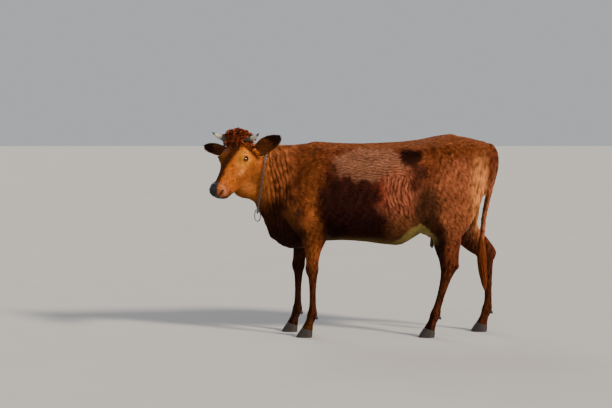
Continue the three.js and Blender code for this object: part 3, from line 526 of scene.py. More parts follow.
# Surface nets: a point in each cell that the surface crosses, at the mean of the crossings on its edges,
# and a quad round each crossed edge. A coarse grid finds the blocks of cells that are worth working out.
def netSurface(distance, lenses, low, high, cell, stride=4, reach=1.25):
    def toCow(q):
        for lens in lenses:
            q = lens.toCow(q)
        return q

    count = np.ceil((high - low) / cell / stride).astype(int) * stride + 1
    axes = [low[k] + cell * np.arange(count[k]) for k in range(3)]
    coarse = toCow(np.stack(np.meshgrid(*(a[::stride] for a in axes), indexing="ij"), -1).reshape(-1, 3))
    size = tuple(len(a[::stride]) for a in axes)
    value = distance(coarse).reshape(size)
    place = coarse.reshape(*size, 3)
    diagonal = np.linalg.norm(place[1:, 1:, 1:] - place[:-1, :-1, :-1], axis=-1)
    active = np.min(np.abs([atCorner(value, corner) for corner in cubeCorners]), axis=0) < diagonal * reach
    wanted = np.zeros(count, bool)
    blocks = grown(active, stride)
    for corner in cubeCorners:
        layer = atCorner(wanted, corner)
        layer |= blocks
    field = grown(np.sign(value) * 1e3, stride)[:count[0], :count[1], :count[2]].astype(np.float32)
    spots = np.argwhere(wanted)
    q = low + cell * spots
    found = np.concatenate([distance(toCow(part)) for part in np.array_split(q, max(1, len(q) // 200000))])
    field[tuple(spots.T)] = found
    print(f"grid {tuple(count)}, {len(spots)} points worked out")

    inside = field < 0
    total = sum(atCorner(inside, corner).astype(np.int8) for corner in cubeCorners)
    cells = np.argwhere((total > 0) & (total < 8))
    ids = np.full(np.array(count) - 1, -1, np.int64)
    ids[tuple(cells.T)] = np.arange(len(cells))
    centre, hits = np.zeros((len(cells), 3)), np.zeros(len(cells))
    for axis in range(3):
        for m, n in ((0, 0), (0, 1), (1, 0), (1, 1)):
            start = np.zeros(3, int)
            start[(axis + 1) % 3], start[(axis + 2) % 3] = m, n
            end = start.copy()
            end[axis] = 1
            a, b = field[tuple((cells + start).T)], field[tuple((cells + end).T)]
            cross = (a < 0) != (b < 0)
            t = np.where(cross, a / np.where(cross, a - b, 1), 0)
            centre += np.where(cross[:, None], start + t[:, None] * (end - start), 0)
            hits += cross
    points = toCow(low + cell * (cells + centre / hits[:, None]))
    quads = []
    for axis in range(3):
        b, c = (axis + 1) % 3, (axis + 2) % 3
        shift = np.eye(3, dtype=int)
        lower = inside[tuple(slice(None, -1) if k == axis else slice(1, -1) for k in range(3))]
        upper = inside[tuple(slice(1, None) if k == axis else slice(1, -1) for k in range(3))]
        edge = np.argwhere(lower != upper) + shift[b] + shift[c]
        outward = inside[tuple(edge.T)]
        ring = np.stack([ids[tuple((edge - o).T)] for o in (shift[b] + shift[c], shift[c], 0 * shift[b],
                                                            shift[b])], axis=1)
        quads.append(np.where(outward[:, None], ring, ring[:, ::-1]))
    return points, np.concatenate(quads)


def slopeAt(distance, p, step=0.6):  # distance and its slope, by small steps along each axis
    stacked = np.concatenate([p, *(p + step * axis for axis in np.eye(3))])
    d = distance(stacked).reshape(4, -1)
    return d[0], ((d[1:] - d[0]) / step).T


def settle(distance, p, rounds=2):  # moves points onto the surface along its slope
    for _ in range(rounds):
        d, slope = slopeAt(distance, p)
        move = -d[:, None] * slope / np.maximum((slope ** 2).sum(axis=1), 0.2)[:, None]
        p = p + np.clip(move, -4, 4)
    return p


grid = {"cell": 16.0, "box": [(-990, -450, -10), (960, 360, 1400)],
        "head": (290, 0.5, 260), "eye": (28, 0.22, 50), "nostril": (56, 0.62, 60)}  # radius, share, fade
headCentre = inHead((190, -92, 0))
headLens = Lens(headCentre, *grid["head"])
spots = [(eyeCentres["left"], "eye"), (eyeCentres["right"], "eye"), (inHead((412, -72, 0)), "nostril")]
lenses = []
for spot, kind in spots:  # centres are given where the head's own lens has them
    radius, share, fade = grid[kind]
    lenses.append(Lens(headLens.toGrid(spot[None])[0], radius / grid["head"][1], share, fade))
for i in range(len(lenses) - 1, -1, -1):  # and each is seen through the lenses applied after it
    for later in lenses[i + 1:]:
        lenses[i].centre = later.toGrid(lenses[i].centre[None])[0]
lenses.append(headLens)
box = np.array(grid["box"], float)
boxCorners = [[box[i, 0], box[j, 1], box[k, 2]] for i, j, k in cubeCorners]
besideHead = [np.where(np.arange(3) == axis, end, headCentre) for axis in range(3) for end in box]
sides = np.array(boxCorners + besideHead)
for lens in reversed(lenses):
    sides = lens.toGrid(sides)
skinPoints, skinQuads = netSurface(skinDistance, lenses, sides.min(axis=0) - 20, sides.max(axis=0) + 20,
                                   grid["cell"])
print(f"skin: {len(skinPoints)} points, {len(skinQuads) * 2} triangles")
skinPoints = settle(skinDistance, skinPoints)
print("skin settled")


# Meshes from arrays.
def placed(name, mesh, material):  # puts a finished mesh into the scene
    if material:
        mesh.materials.append(material)
    thing = bpy.data.objects.new(name, mesh)
    bpy.context.scene.collection.objects.link(thing)
    return thing


def meshObject(name, points, faces, material=None):  # faces may be lists with any number of sides
    mesh = bpy.data.meshes.new(name)
    mesh.from_pydata(toRow(points).tolist(), [], faces if isinstance(faces, list) else faces.tolist())
    mesh.shade_smooth()
    mesh.update()
    return placed(name, mesh, material)


def arrayMesh(name, points, faces, material):  # straight from arrays, for faces with one number of sides
    mesh = bpy.data.meshes.new(name)
    mesh.vertices.add(len(points))
    mesh.vertices.foreach_set("co", toRow(points).astype(np.float32).ravel())
    sides = faces.shape[1]
    mesh.loops.add(faces.size)
    mesh.loops.foreach_set("vertex_index", faces.astype(np.int32).ravel())
    mesh.polygons.add(len(faces))
    mesh.polygons.foreach_set("loop_start", np.arange(0, faces.size, sides, dtype=np.int32))
    mesh.update(calc_edges=True)
    mesh.shade_smooth()
    return placed(name, mesh, material)


def mendFaces(thing):  # turns the faces of a closed mesh outwards
    work = bmesh.new()
    work.from_mesh(thing.data)
    bmesh.ops.recalc_face_normals(work, faces=work.faces)
    work.to_mesh(thing.data)
    work.free()


def giveNumbers(thing, name, values):  # one number or one colour for each point
    kind = "FLOAT_COLOR" if np.ndim(values) == 2 else "FLOAT"
    attribute = thing.data.attributes.new(name, kind, "POINT")
    if kind == "FLOAT":
        attribute.data.foreach_set("value", np.asarray(values, np.float32))
    else:
        full = np.hstack([values, np.ones((len(values), 1))]).astype(np.float32)
        attribute.data.foreach_set("color", full.ravel())


def giveMap(thing, corners):  # the place of each face corner on the map that bakes
    layer = thing.data.uv_layers.new(name="OFBake")
    layer.data.foreach_set("uv", corners.astype(np.float32).ravel())


def readOut(things, field, width, kind=np.float32):  # a field of all points or faces, as rows of numbers
    flat = np.empty(len(things) * width, kind)
    things.foreach_get(field, flat)
    return flat.reshape(-1, width)


def tubeFaces(rings, around):  # quads of a tube drawn ring by ring, closed by a fan at both ends
    i, j = np.meshgrid(np.arange(rings - 1), np.arange(around), indexing="ij")
    here, right = i * around + j, i * around + (j + 1) % around
    quads = np.stack([here, right, right + around, here + around], axis=-1).reshape(-1, 4)
    ends = [list(range(around - 1, -1, -1)), list(range((rings - 1) * around, rings * around))]
    return quads.tolist() + ends


def loopFaces(rings, around):  # quads of a tube whose last ring meets its first
    i, j = np.meshgrid(np.arange(rings), np.arange(around), indexing="ij")
    ahead, right = (i + 1) % rings, (j + 1) % around
    return np.stack([i * around + j, ahead * around + j, ahead * around + right, i * around + right],
                    -1).reshape(-1, 4)


def curveAlong(spots, t, closed=False):  # a smooth curve through a few spots
    spots = np.asarray(spots, float)
    if closed:
        count = len(spots)
        spots = np.concatenate([spots[-3:], spots, spots[:3]])
        t = (3 + np.asarray(t) * count) / (len(spots) - 1)
    return rowsAt(spots, np.asarray(t))


def sweptTube(line, radius, around, guide=(0.31, 0.87, 0.38)):
    # rings across a line: each point is the line plus the radius turned round the line's own direction
    tangent = unit(np.gradient(line, axis=0))
    out = unit(np.cross(guide, tangent))
    deep = np.cross(tangent, out)
    turn = np.linspace(0, 2 * math.pi, around, endpoint=False)
    ring = np.cos(turn)[None, :, None] * out[:, None] + np.sin(turn)[None, :, None] * deep[:, None]
    return (line[:, None] + ring * np.asarray(radius).reshape(len(line), -1, 1)).reshape(-1, 3)


# Ears and teats, joined to the skin.
earShape = {"width": 118, "halves": [23, 36, 46, 52, 51, 45, 34, 16], "drawnWidth": 104, "thickness": 6,
            "cup": 24, "bendBack": 6, "around": 44, "along": 66, "coat": 1.0,
            "tips": {"left": (-84, -54, 250), "right": (40, -30, -252)}}


def earAxes(side):  # base, run to the tip, the way the hollow opens, and the way across the leaf
    tip = earShape["tips"][side]
    base = inHead((18, -84, math.copysign(84, tip[2])))
    run = inHead(tip) - base
    lengthwise = unit(run)
    opening = unit(faceward - lengthwise * (lengthwise @ faceward))
    return base, run, opening, np.cross(lengthwise, opening)


def earHalf(t):  # half width of the leaf at share t of its length
    halves = rowsAt(np.array(earShape["halves"])[:, None], t.ravel())[:, 0].reshape(t.shape)
    return halves * earShape["width"] / earShape["drawnWidth"]


def earFold(t, w):  # rise of the leaf at share t of its length and w of its half width: cup x w^2 less a bow
    return (earShape["cup"] * (1.25 - 0.75 * t) * w * w
            - earShape["bendBack"] * np.sin(math.pi * np.clip(t, 0, 1)))


def earLeaf(side):  # base + run x t + across x half width x w + opening x (fold + thickness + ridges)
    base, run, opening, broad = earAxes(side)
    around, along = earShape["around"], earShape["along"]
    t = np.linspace(-0.1, 1, along)[:, None]
    turn = np.linspace(0, 2 * math.pi, around, endpoint=False)[None]
    close = roundEnd(t, 0.95, 0.05, 0.002)
    w = np.cos(turn) * close * 0.985
    thick = (earShape["thickness"] / 2 * (1.6 - 0.9 * t) - earShape["coat"]) * close
    lift = np.sign(np.sin(turn)) * np.abs(np.sin(turn)) ** 0.7 * thick
    ridges = 1.1 * np.cos(w * 13) * softStep(np.sin(turn), 0.2, 0.7) * bump(t, 0.35, 0.3)
    points = (base + run * t[..., None] + broad * (earHalf(t) * w)[..., None]
              + opening * (earFold(t, w) + lift + ridges)[..., None])
    return points.reshape(-1, 3), tubeFaces(along, around)


teats = {"places": [(534, 622), (618, 620)], "radius": 10.4, "taper": 2, "rings": 20, "around": 18,
         "middle": (576, 0, 600), "reach": (95, 80, 80)}


def teatTube(x, z, s):  # a tube along a short curve, a little thinner downwards and closed in a dome
    t = np.linspace(0, 1, teats["rings"])
    line = curveAlong([(x + 4, s * 42, z + 22), (x, s * 45, z - 20), (x - 4, s * 46, z - 53)], t)
    radius = (teats["radius"] - teats["taper"] * t) * roundEnd(t, 0.86, 0.14, 0.01)
    return sweptTube(line, radius, teats["around"]), tubeFaces(teats["rings"], teats["around"])


def unite(thing, others):  # joins closed meshes into one closed skin
    for other in others:
        join = thing.modifiers.new("join", "BOOLEAN")
        join.operation, join.solver, join.object = "UNION", "MANIFOLD", other
        bpy.context.view_layer.update()
        joined = bpy.data.meshes.new_from_object(thing.evaluated_get(bpy.context.evaluated_depsgraph_get()))
        thing.modifiers.clear()
        if len(joined.vertices) > len(thing.data.vertices):
            thing.data = joined
        else:
            print("could not join", other.name)
        bpy.data.objects.remove(other)


skin = meshObject("skin", skinPoints, skinQuads)
extras = [meshObject(f"ear_{side}_leaf", *earLeaf(side)) for side in ("left", "right")]
extras += [meshObject(f"teat_{x}_{s}", *teatTube(x, z, s)) for s in (-1, 1) for x, z in teats["places"]]
for thing in extras:
    mendFaces(thing)
unite(skin, extras)
skin.data.name = "skin"
skin.data.shade_smooth()
print(f"ears and teats joined: {len(skin.data.vertices)} points")


# Colours of the coat. Each patch is a soft area in side view whose edge wobbles, laid on in this order:
# colour, middle (x, z), half sizes, softness of the edge, wobble in mm, strength.
coatPatches = {
    "shoulder": ("#5a2f16", (-262, 1010), (105, 270), 0.5, 14, 0.8),
    "foreleg": ("#884b24", (-250, 700), (66, 220), 0.5, 10, 0.8),
    # Painted shade: a dark band behind the shoulder.
    "shadeBehindShoulder": ("#1a0a09", (-118, 850), (78, 250), 0.5, 16, 0.9),
    # Belly and barrel: darker hair on the lower barrel, partly painted shade where it turns down and away
    # from the light.
    "belly": ("#180906", (20, 700), (290, 130), 0.4, 14, 0.9),
    "barrel": ("#2b1411", (50, 880), (280, 158), 0.22, 22, 0.92),
    # Saddle: lighter rippled hair, partly painted sheen where the sun catches the upper ribs.
    "saddle": ("#774e3a", (116, 1118), (232, 104), 0.16, 16, 0.9),
    "rearBarrel": ("#7d4530", (290, 930), (118, 168), 0.35, 24, 0.9),
    "lowFlank": ("#643a21", (335, 725), (125, 96), 0.4, 20, 0.85),
    # Painted shade in dark streaks running down from the hollow in front of the hip.
    "hollowShadeStreak": ("#2f1612", (412, 1080), (44, 96), 0.5, 18, 0.8),
    "redBarrel": ("#622016", (190, 960), (52, 80), 0.6, 22, 0.6),
    "thigh": ("#8a4e31", (700, 880), (200, 270), 0.4, 18, 0.85),
    # Painted highlight along the rear edge of the thighs, as if lit from the right.
    "thighRearLight": ("#c8804a", (828, 900), (66, 260), 0.6, 8, 0.7),
    # Painted highlight on the hip.
    "hipLight": ("#6e3a20", (520, 1165), (84, 56), 0.5, 10, 0.7),
    # Painted shade in front of the thigh, where the flank folds in to the stifle.
    "stifleShade": ("#332013", (478, 826), (92, 176), 0.42, 16, 0.88),
    # Painted shade down the front of the hind shanks.
    "shankFrontShade": ("#21100a", (556, 640), (42, 130), 0.5, 8, 0.85),
    "rump": ("#592c13", (700, 1245), (240, 70), 0.4, 14, 0.7),
    # Brisket: darker hair, partly painted shade under the chest.
    "brisket": ("#20120d", (-452, 730), (132, 200), 0.22, 14, 0.95),
    "elbow": ("#24130d", (-352, 640), (52, 110), 0.5, 10, 0.85),
    # Painted shade in the hollow in front of the hip bone.
    "hollow": ("#150806", (372, 1170), (72, 54), 0.3, 14, 0.97),
}
plainColours = {
    "base": "#582a19", "litBackLine": "#693c23", "neck": "#824828", "neckValleyShade": "#30160d",
    "nearHead": "#b0652f", "brisket": "#25100a", "lowLeg": "#402112", "shade": "#20120f",
    "tail": "#8a5033", "paleBellyAndGrassLight": "#5a4c28", "groin": "#84733f", "udder": "#80614b", "teat": "#4c332b",
}
faceColours = {
    "face": "#a0541f", "eyeRing": "#d2842f", "cheek": "#a45a2a", "cheekHighlight": "#e59350",
    "bridge": "#23130e", "farSideShade": "#4c2919", "farBrowLight": "#86482b", "muzzleSide": "#92502c",
    "nose": "#2c2d32", "nostrilRim": "#d28f76", "lip": "#33240f", "underJaw": "#8b5328",
    "temple": "#1f0e08", "poll": "#6e331d", "lid": "#110604",
}
earColours = {"outside": "#432410", "inside": "#22120c", "edge": "#573217"}
groinEdge = {"x": [200, 257, 307, 367, 426, 476, 516, 570], "z": [585, 612, 650, 706, 735, 722, 680, 640]}
shinLine = {"z": [150, 285, 458, 652, 760], "x": [549, 588, 632, 614, 590]}
brisketEdge = {"x": [-640, -560, -500, -400, -330], "z": [930, 900, 905, 870, 800]}
bridgeMiddle = {"along": [-20, 30, 110, 200, 380], "side": [10, 14, 4, -10, -14]}
bridgeHalf = {"along": [-20, 30, 110, 170, 260, 380], "half": [52, 38, 30, 25, 22, 24]}


def plain(hexColour, count):  # the same colour for every point
    return np.repeat(linear(hexColour)[None], count, axis=0)


def paint(colour, hexColour, share):  # moves a colour towards another by a share from 0 to 1
    return towards(colour, linear(hexColour), np.clip(share, 0, 1))


def paintAll(colour, palette, shares):  # lays colours of a palette over one another, in order
    for name, share in shares:
        colour = paint(colour, palette[name], share)
    return colour


def barrelLocks(p):  # wavy upright locks of the rear barrel, and level ripples of the saddle: share and phase
    x, y, z = p.T
    swing = locks["swing"] * np.sin(z / locks["wave"])
    lock = (x + swing + 6 * waves(p, 120, 12) + 5 * waves(p, 40, 13)) / locks["pitch"] * 2 * math.pi
    ripple = (z + 6 * waves(p, 130, 21) + 4 * waves(p, 44, 22) + 0.05 * x) / locks["ripple"] * 2 * math.pi
    side = softStep(np.abs(y), 110, 190)
    lockShare = (side * softStep(x, 165, 225) * softStep(x, 425, 385)
                 * softStep(z, 770, 820) * softStep(z, 1110, 1050))
    rippleShare = side * softStep(x, -125, -85) * softStep(x, 350, 300) * softStep(z, 1010, 1040)
    return lockShare, lock, rippleShare * softStep(z, 1225, 1190), ripple


def bodyColour(p, n, r):  # base, patches by their side view with painted shade and painted light among them, the back line with painted top light, legs with painted shade, and tail, then locks and licks with painted sheen
    x, y, z = p.T
    colour = plain(plainColours["base"], len(p))
    wobbleX, wobbleZ = waves(p, 110, 31), waves(p, 70, 32)
    fineX, fineZ = waves(p, 38, 33), waves(p, 30, 34)
    for hexColour, (cx, cz), (halfX, halfZ), soft, wobble, strength in coatPatches.values():
        reach = np.hypot((x - cx + wobble * (wobbleX + 0.5 * fineX)) / halfX,
                         (z - cz + wobble * (wobbleZ + 0.5 * fineZ)) / halfZ)
        colour = paint(colour, hexColour, strength * softStep(reach, 1 + soft, 1 - soft))
    # Painted shade on the inner thighs, the far foreleg and the front of the near shin.
    between = (softStep(np.abs(y), 150, 96) * softStep(x, 640, 700) * softStep(z, 1010, 900)
               * softStep(z, 180, 330))
    farFore = softStep(y, 40, 90) * softStep(x, 0, -60) * softStep(z, 640, 560)
    shin = softStep(x - np.interp(z, shinLine["z"], shinLine["x"]), -6, -34) * (y < 0)
    colour = paintAll(colour, plainColours, (
        # Painted top light: lighter along the back where the skin faces up.
        ("litBackLine", 0.8 * softStep(n[:, 2], 0.6, 0.9) * softStep(z + 8 * fineX, 1196, 1232)),
        ("lowLeg", 0.75 * softStep(z + 30 * wobbleX, 520, 330)),
        ("shade", 0.85 * between * (1 - r["tail"])),
        ("shade", 0.75 * farFore),
        ("shade", 0.8 * shin * softStep(x, 440, 480) * softStep(z, 700, 620)),
        ("tail", r["tail"] * softStep(z, 1170, 1020)),
    ))
    lockShare, lock, rippleShare, ripple = barrelLocks(p)
    # Painted sheen on the crests of the locks and ripples, painted shade in their troughs.
    shade = 1 + 0.55 * lockShare * np.cos(lock) + 0.4 * rippleShare * np.cos(ripple)
    # Upright licked streaks: partly random tone, partly painted sheen and shade.
    lickedToneAndSheen = waves(p * (1.0, 1.0, 0.3), 17, 35) * (1 - rippleShare)
    shade *= 1 + 0.7 * lickedToneAndSheen + 0.14 * wobbleX + 0.12 * fineX
    return colour * np.clip(shade, 0.25, 2)[:, None]


def neckColour(p):  # lighter near the head, painted shade in the valleys of the folds, and dark on the brisket from darker hair and painted shade
    x, _, z = p.T
    # Painted shade in the valleys between the folds.
    valley = (0.5 + 0.5 * np.cos(neckPhase(p))) ** 1.5 * softStep(z, 1230, 1170) * softStep(x, -350, -420)
    colour = paintAll(plain(plainColours["neck"], len(p)), plainColours, (
        ("nearHead", softStep(x + 12 * waves(p, 80, 41), -490, -570)),
        ("neckValleyShade", 0.95 * valley),
    ))
    shade = 1 + 0.7 * waves(p * (1.0, 1.0, 0.3), 18, 43) + 0.35 * waves(p, 70, 44)
    colour = colour * np.clip(shade, 0.3, 1.9)[:, None]
    # The brisket below its edge: darker hair, partly painted shade under the chest.
    edge = np.interp(x, brisketEdge["x"], brisketEdge["z"])
    low = softStep(z + 14 * waves(p, 60, 42), edge + 12, edge - 26)
    return paint(colour, plainColours["brisket"], 0.92 * low)


def faceColour(p, r):  # rings round the eyes, a dark bridge down the face that is partly painted shade, painted highlights on the cheeks and far brow, painted shadow before the ears and painted shade over the far side, and the muzzle's own colours with painted light and shade on the nose
    f, u, l = r["f"], r["u"], np.abs(r["l"])
    wobble, fine = waves(p, 46, 51), waves(p, 20, 52)
    out, along, above, opening = eyeParts(f, u, l)
    ball = np.sqrt(out ** 2 + along ** 2 + above ** 2)
    middle = np.interp(f, bridgeMiddle["along"], bridgeMiddle["side"])
    half = np.interp(f, bridgeHalf["along"], bridgeHalf["half"]) + 9 * wobble + 5 * fine
    top = softStep(u, -76, -44)
    inPit = np.min([muscleDistance(part, p) for part in nostrilParts], axis=0)
    colour = paintAll(plain(faceColours["face"], len(p)), faceColours, (
        ("cheek", 0.8 * softStep(u + 10 * wobble, -105, -140)),
        # Painted highlight high on the cheeks.
        ("cheekHighlight", 0.6 * bump(f + 10 * wobble, 196, 44) * bump(u, -92, 26) * softStep(l, 25, 45)),
        ("underJaw", 0.8 * softStep(u + 8 * wobble, -170, -205)),
        ("eyeRing", 0.95 * softStep(ball + 9 * wobble, 88, 22)),
        # Painted shadow: a dark line in front of the root of each ear.
        ("temple", 0.95 * bump(f + 4 * wobble, 50, 18) * softStep(l, 68, 84) * softStep(u, -150, -110)),
        # Painted shade over the far side of the face.
        ("farSideShade", 0.8 * softStep(r["l"] + 8 * wobble, -14, -40)),
        # The dark bridge: a darker stripe of hair, partly painted shade on the front of the face.
        ("bridge", 0.88 * top * softStep(np.abs(r["l"] - middle), half + 12, half - 12)),
        # Painted light: a lit red-brown patch on the far side of the brow, over the dark bridge.
        ("farBrowLight", 0.9 * bump(f, 86, 26) * bump(r["l"], -44, 22) * top),
        ("poll", softStep(f + 8 * wobble, 44, 24) * softStep(u, -45, -20)),
        ("muzzleSide", 0.85 * softStep(f, 322, 362) * softStep(l, 20, 30)),
        ("lip", 0.85 * softStep(f, 330, 372) * softStep(u + 4 * wobble, -84, -100)),
        # Pink rim of the near nostril only: pink skin, partly painted light on the lit side.
        ("nostrilRim", bump(f, 398, 15) * bump(r["l"], 42, 14) * bump(u, -62, 22)),
        # The nose pad: dark skin, with painted shade from its middle over the far side.
        ("nose", r["muzzle"] * softStep(r["l"] + 3 * wobble, 24, 12)),
        # Painted shade inside the nostrils, in the lid colour.
        ("lid", softStep(inPit, 2.5, -1.5)),
        ("lid", softStep(opening, 3.4, 1.2) * softStep(ball, 30, 25) * softStep(out, 0, 4)),
    ))
    return colour * np.clip(1 + 0.16 * wobble + 0.2 * fine + 0.3 * waves(p, 9, 53), 0.4, 1.7)[:, None]


def earColour(p):  # dark hollow, a lighter edge and a red-brown back
    colour = plain(earColours["outside"], len(p))
    for side in ("left", "right"):
        base, run, opening, broad = earAxes(side)
        offset = p - base
        t = offset @ run / (run @ run)
        w = (offset @ broad) / earHalf(t)
        height = (offset - run * t[:, None]) @ opening - earFold(t, w)
        front = softStep(height, -1, 2) * (np.abs(w) < 1.6)
        colour = paintAll(colour, earColours, (
            ("inside", front * softStep(np.abs(w), 0.95, 0.7)),
            ("edge", 0.8 * front * softStep(np.abs(w), 0.72, 0.95)),
        ))
    return colour


def coatColour(p, n, r, ear):  # the body's colour with neck, groin, udder, face and ears laid over it
    x, y, z = p.T
    colour = towards(bodyColour(p, n, r), neckColour(p), r["neck"])
    edge = np.interp(x, groinEdge["x"], groinEdge["z"]) + 6 * waves(p, 40, 61)
    # Groin: pale belly hair, tinted olive as painted grass-reflected light in shade.
    groin = softStep(z, edge + 14, edge - 8) * softStep(x, 205, 250) * softStep(x, 570, 505)
    groin *= softStep(z, 596, 626) * (1 - 0.9 * r["legs"])
    # Under the belly, where the skin faces down: pale hair, partly painted light reflected from grass.
    under = (softStep(-n[:, 2], 0.8, 0.97) * softStep(x, -220, -150) * softStep(x, 400, 300)
             * softStep(z, 700, 640))
    colour = paintAll(colour, plainColours, (
        ("paleBellyAndGrassLight", 0.7 * under),
        ("groin", groin * softStep(np.abs(y), 262, 240)),
        ("udder", r["udder"]),
    ))
    colour = towards(colour, faceColour(p, r), r["head"])
    return towards(colour, earColour(p), ear)


def lieOf(p, n, r):  # which way the hair points: back along the trunk, down the legs, and round the face
    x, _, z = p.T
    zero = np.zeros(len(p))
    trunk = np.stack([zero + 1, zero, -0.28 - 0.5 * softStep(x, 380, 620) - 0.3 * softStep(z, 1150, 800)], 1)
    lockShare, _, rippleShare, _ = barrelLocks(p)
    trunk = towards(trunk, np.stack([0.25 + 0.45 * np.cos(z / locks["wave"]), zero, zero - 1], 1), lockShare)
    trunk[:, 2] *= 1 - 0.75 * rippleShare
    trunk = towards(trunk, np.array([0.9, 0, 0.05]), softStep(n[:, 2], 0.7, 0.95))
    hindDown = softStep(x, 700, 820) * softStep(z, 1200, 1100)
    lie = towards(unit(trunk), np.array([0.12, 0, -1.0]), np.maximum(r["legs"], hindDown))
    neckWay = unit(np.array([0.42, 0, -0.9]))
    lie = towards(lie, neckWay, np.maximum(r["neck"], softStep(x, -330, -420)))
    lie = towards(lie, np.array([0, 0, -1.0]), r["tail"])
    f, u, l = r["f"], r["u"], r["l"]
    noseward = softStep(f, 78, 140) * 2 - 1
    sideways = 0.35 * np.sign(l) * softStep(np.abs(l), 10, 60)
    cheek = softStep(u, -70, -125)
    face = np.stack([noseward * (1 - cheek) - 0.45 * cheek, -0.25 - 0.9 * cheek, sideways * (1 - cheek)], 1)
    return towards(lie, unit(face) @ headAxes, r["head"])


def alongSkin(way, n):  # a direction laid flat on the skin: less its part along the normal
    return unit(way - n * (way * n).sum(axis=1)[:, None])


def earsAsHead(r, ear):  # an ear counts as head, and not as neck, muzzle or poll
    for name in ("head", "neck", "muzzle", "poll"):
        r[name] = r[name] * (1 - ear) + (ear if name == "head" else 0)


skinP = readOut(skin.data.vertices, "co", 3).astype(float) * 1000 - rowShift
skinN = readOut(skin.data.vertex_normals, "vector", 3).astype(float)
skinR = regions(skinP)
fleshAway = fleshDistance(skinP)
earShare = softStep(fleshAway, -0.5, 4) * (skinP[:, 2] > 1000)
nearTeats = (np.abs(skinP - teats["middle"]) < teats["reach"]).all(axis=1)
teatShare = softStep(fleshAway, 0, 4) * nearTeats
earsAsHead(skinR, earShare)
skinColour = coatColour(skinP, skinN, skinR, earShare)
skinColour = paint(skinColour, plainColours["teat"], teatShare)
faceOut, faceAlong, _, faceOpening = eyeParts(skinR["f"], skinR["u"], skinR["l"])
lidShare = (softStep(faceOpening, 5, 2) * softStep(np.hypot(faceOut, faceAlong), 32, 26) * skinR["head"]
            * softStep(faceOut, 0, 4))
bareness = np.clip(skinR["muzzle"] + 0.7 * skinR["udder"] + teatShare + lidShare, 0, 1)
upright = np.clip(skinR["legs"] + skinR["neck"] + skinR["tail"] + barrelLocks(skinP)[0]
                  + softStep(skinP[:, 0], 560, 700), 0, 1)
giveNumbers(skin, "coatTint", np.clip(skinColour, 0, 1))
giveNumbers(skin, "bareness", bareness)
giveNumbers(skin, "upright", upright * (1 - skinR["head"]))
giveNumbers(skin, "faceShare", skinR["head"])
print("skin coloured")


# Materials. addNode adds one node, sets its properties and sockets, and links others to it.
# A colour mix takes its share at socket 0 and its two colours at sockets 6 and 7.
colourMix = {"data_type": "RGBA"}
colourMultiply = {"data_type": "RGBA", "blend_type": "MULTIPLY", 0: 1.0}


def linkTo(tree, node, links):
    for name, source in links.items():
        tree.links.new(source, node.inputs[name])


def addNode(tree, kind, settings=None, links=None):
    node = tree.nodes.new(kind)
    for name, value in (settings or {}).items():
        if isinstance(name, str) and hasattr(node, name):
            setattr(node, name, value)
        else:
            node.inputs[name].default_value = value
    linkTo(tree, node, links or {})
    return node


def newMaterial(name, settings):  # a material with one Principled shader, and its node tree
    material = bpy.data.materials.new(name)
    material.use_nodes = True
    tree = material.node_tree
    shader = tree.nodes["Principled BSDF"]
    for socket, value in settings.items():
        shader.inputs[socket].default_value = value
    return material, tree, shader


def rgba(hexColour):  # linear, with full alpha
    return (*linear(hexColour), 1)


def stretchedNoise(tree, scales, detail=3.0):  # noise on object coordinates; scales are repeats to the metre
    place = addNode(tree, "ShaderNodeTexCoord")
    mapped = addNode(tree, "ShaderNodeMapping", {"Scale": scales}, {"Vector": place.outputs["Object"]})
    noise = addNode(tree, "ShaderNodeTexNoise", {"Scale": 1.0, "Detail": detail},
                    {"Vector": mapped.outputs[0]})
    return noise.outputs["Fac"]


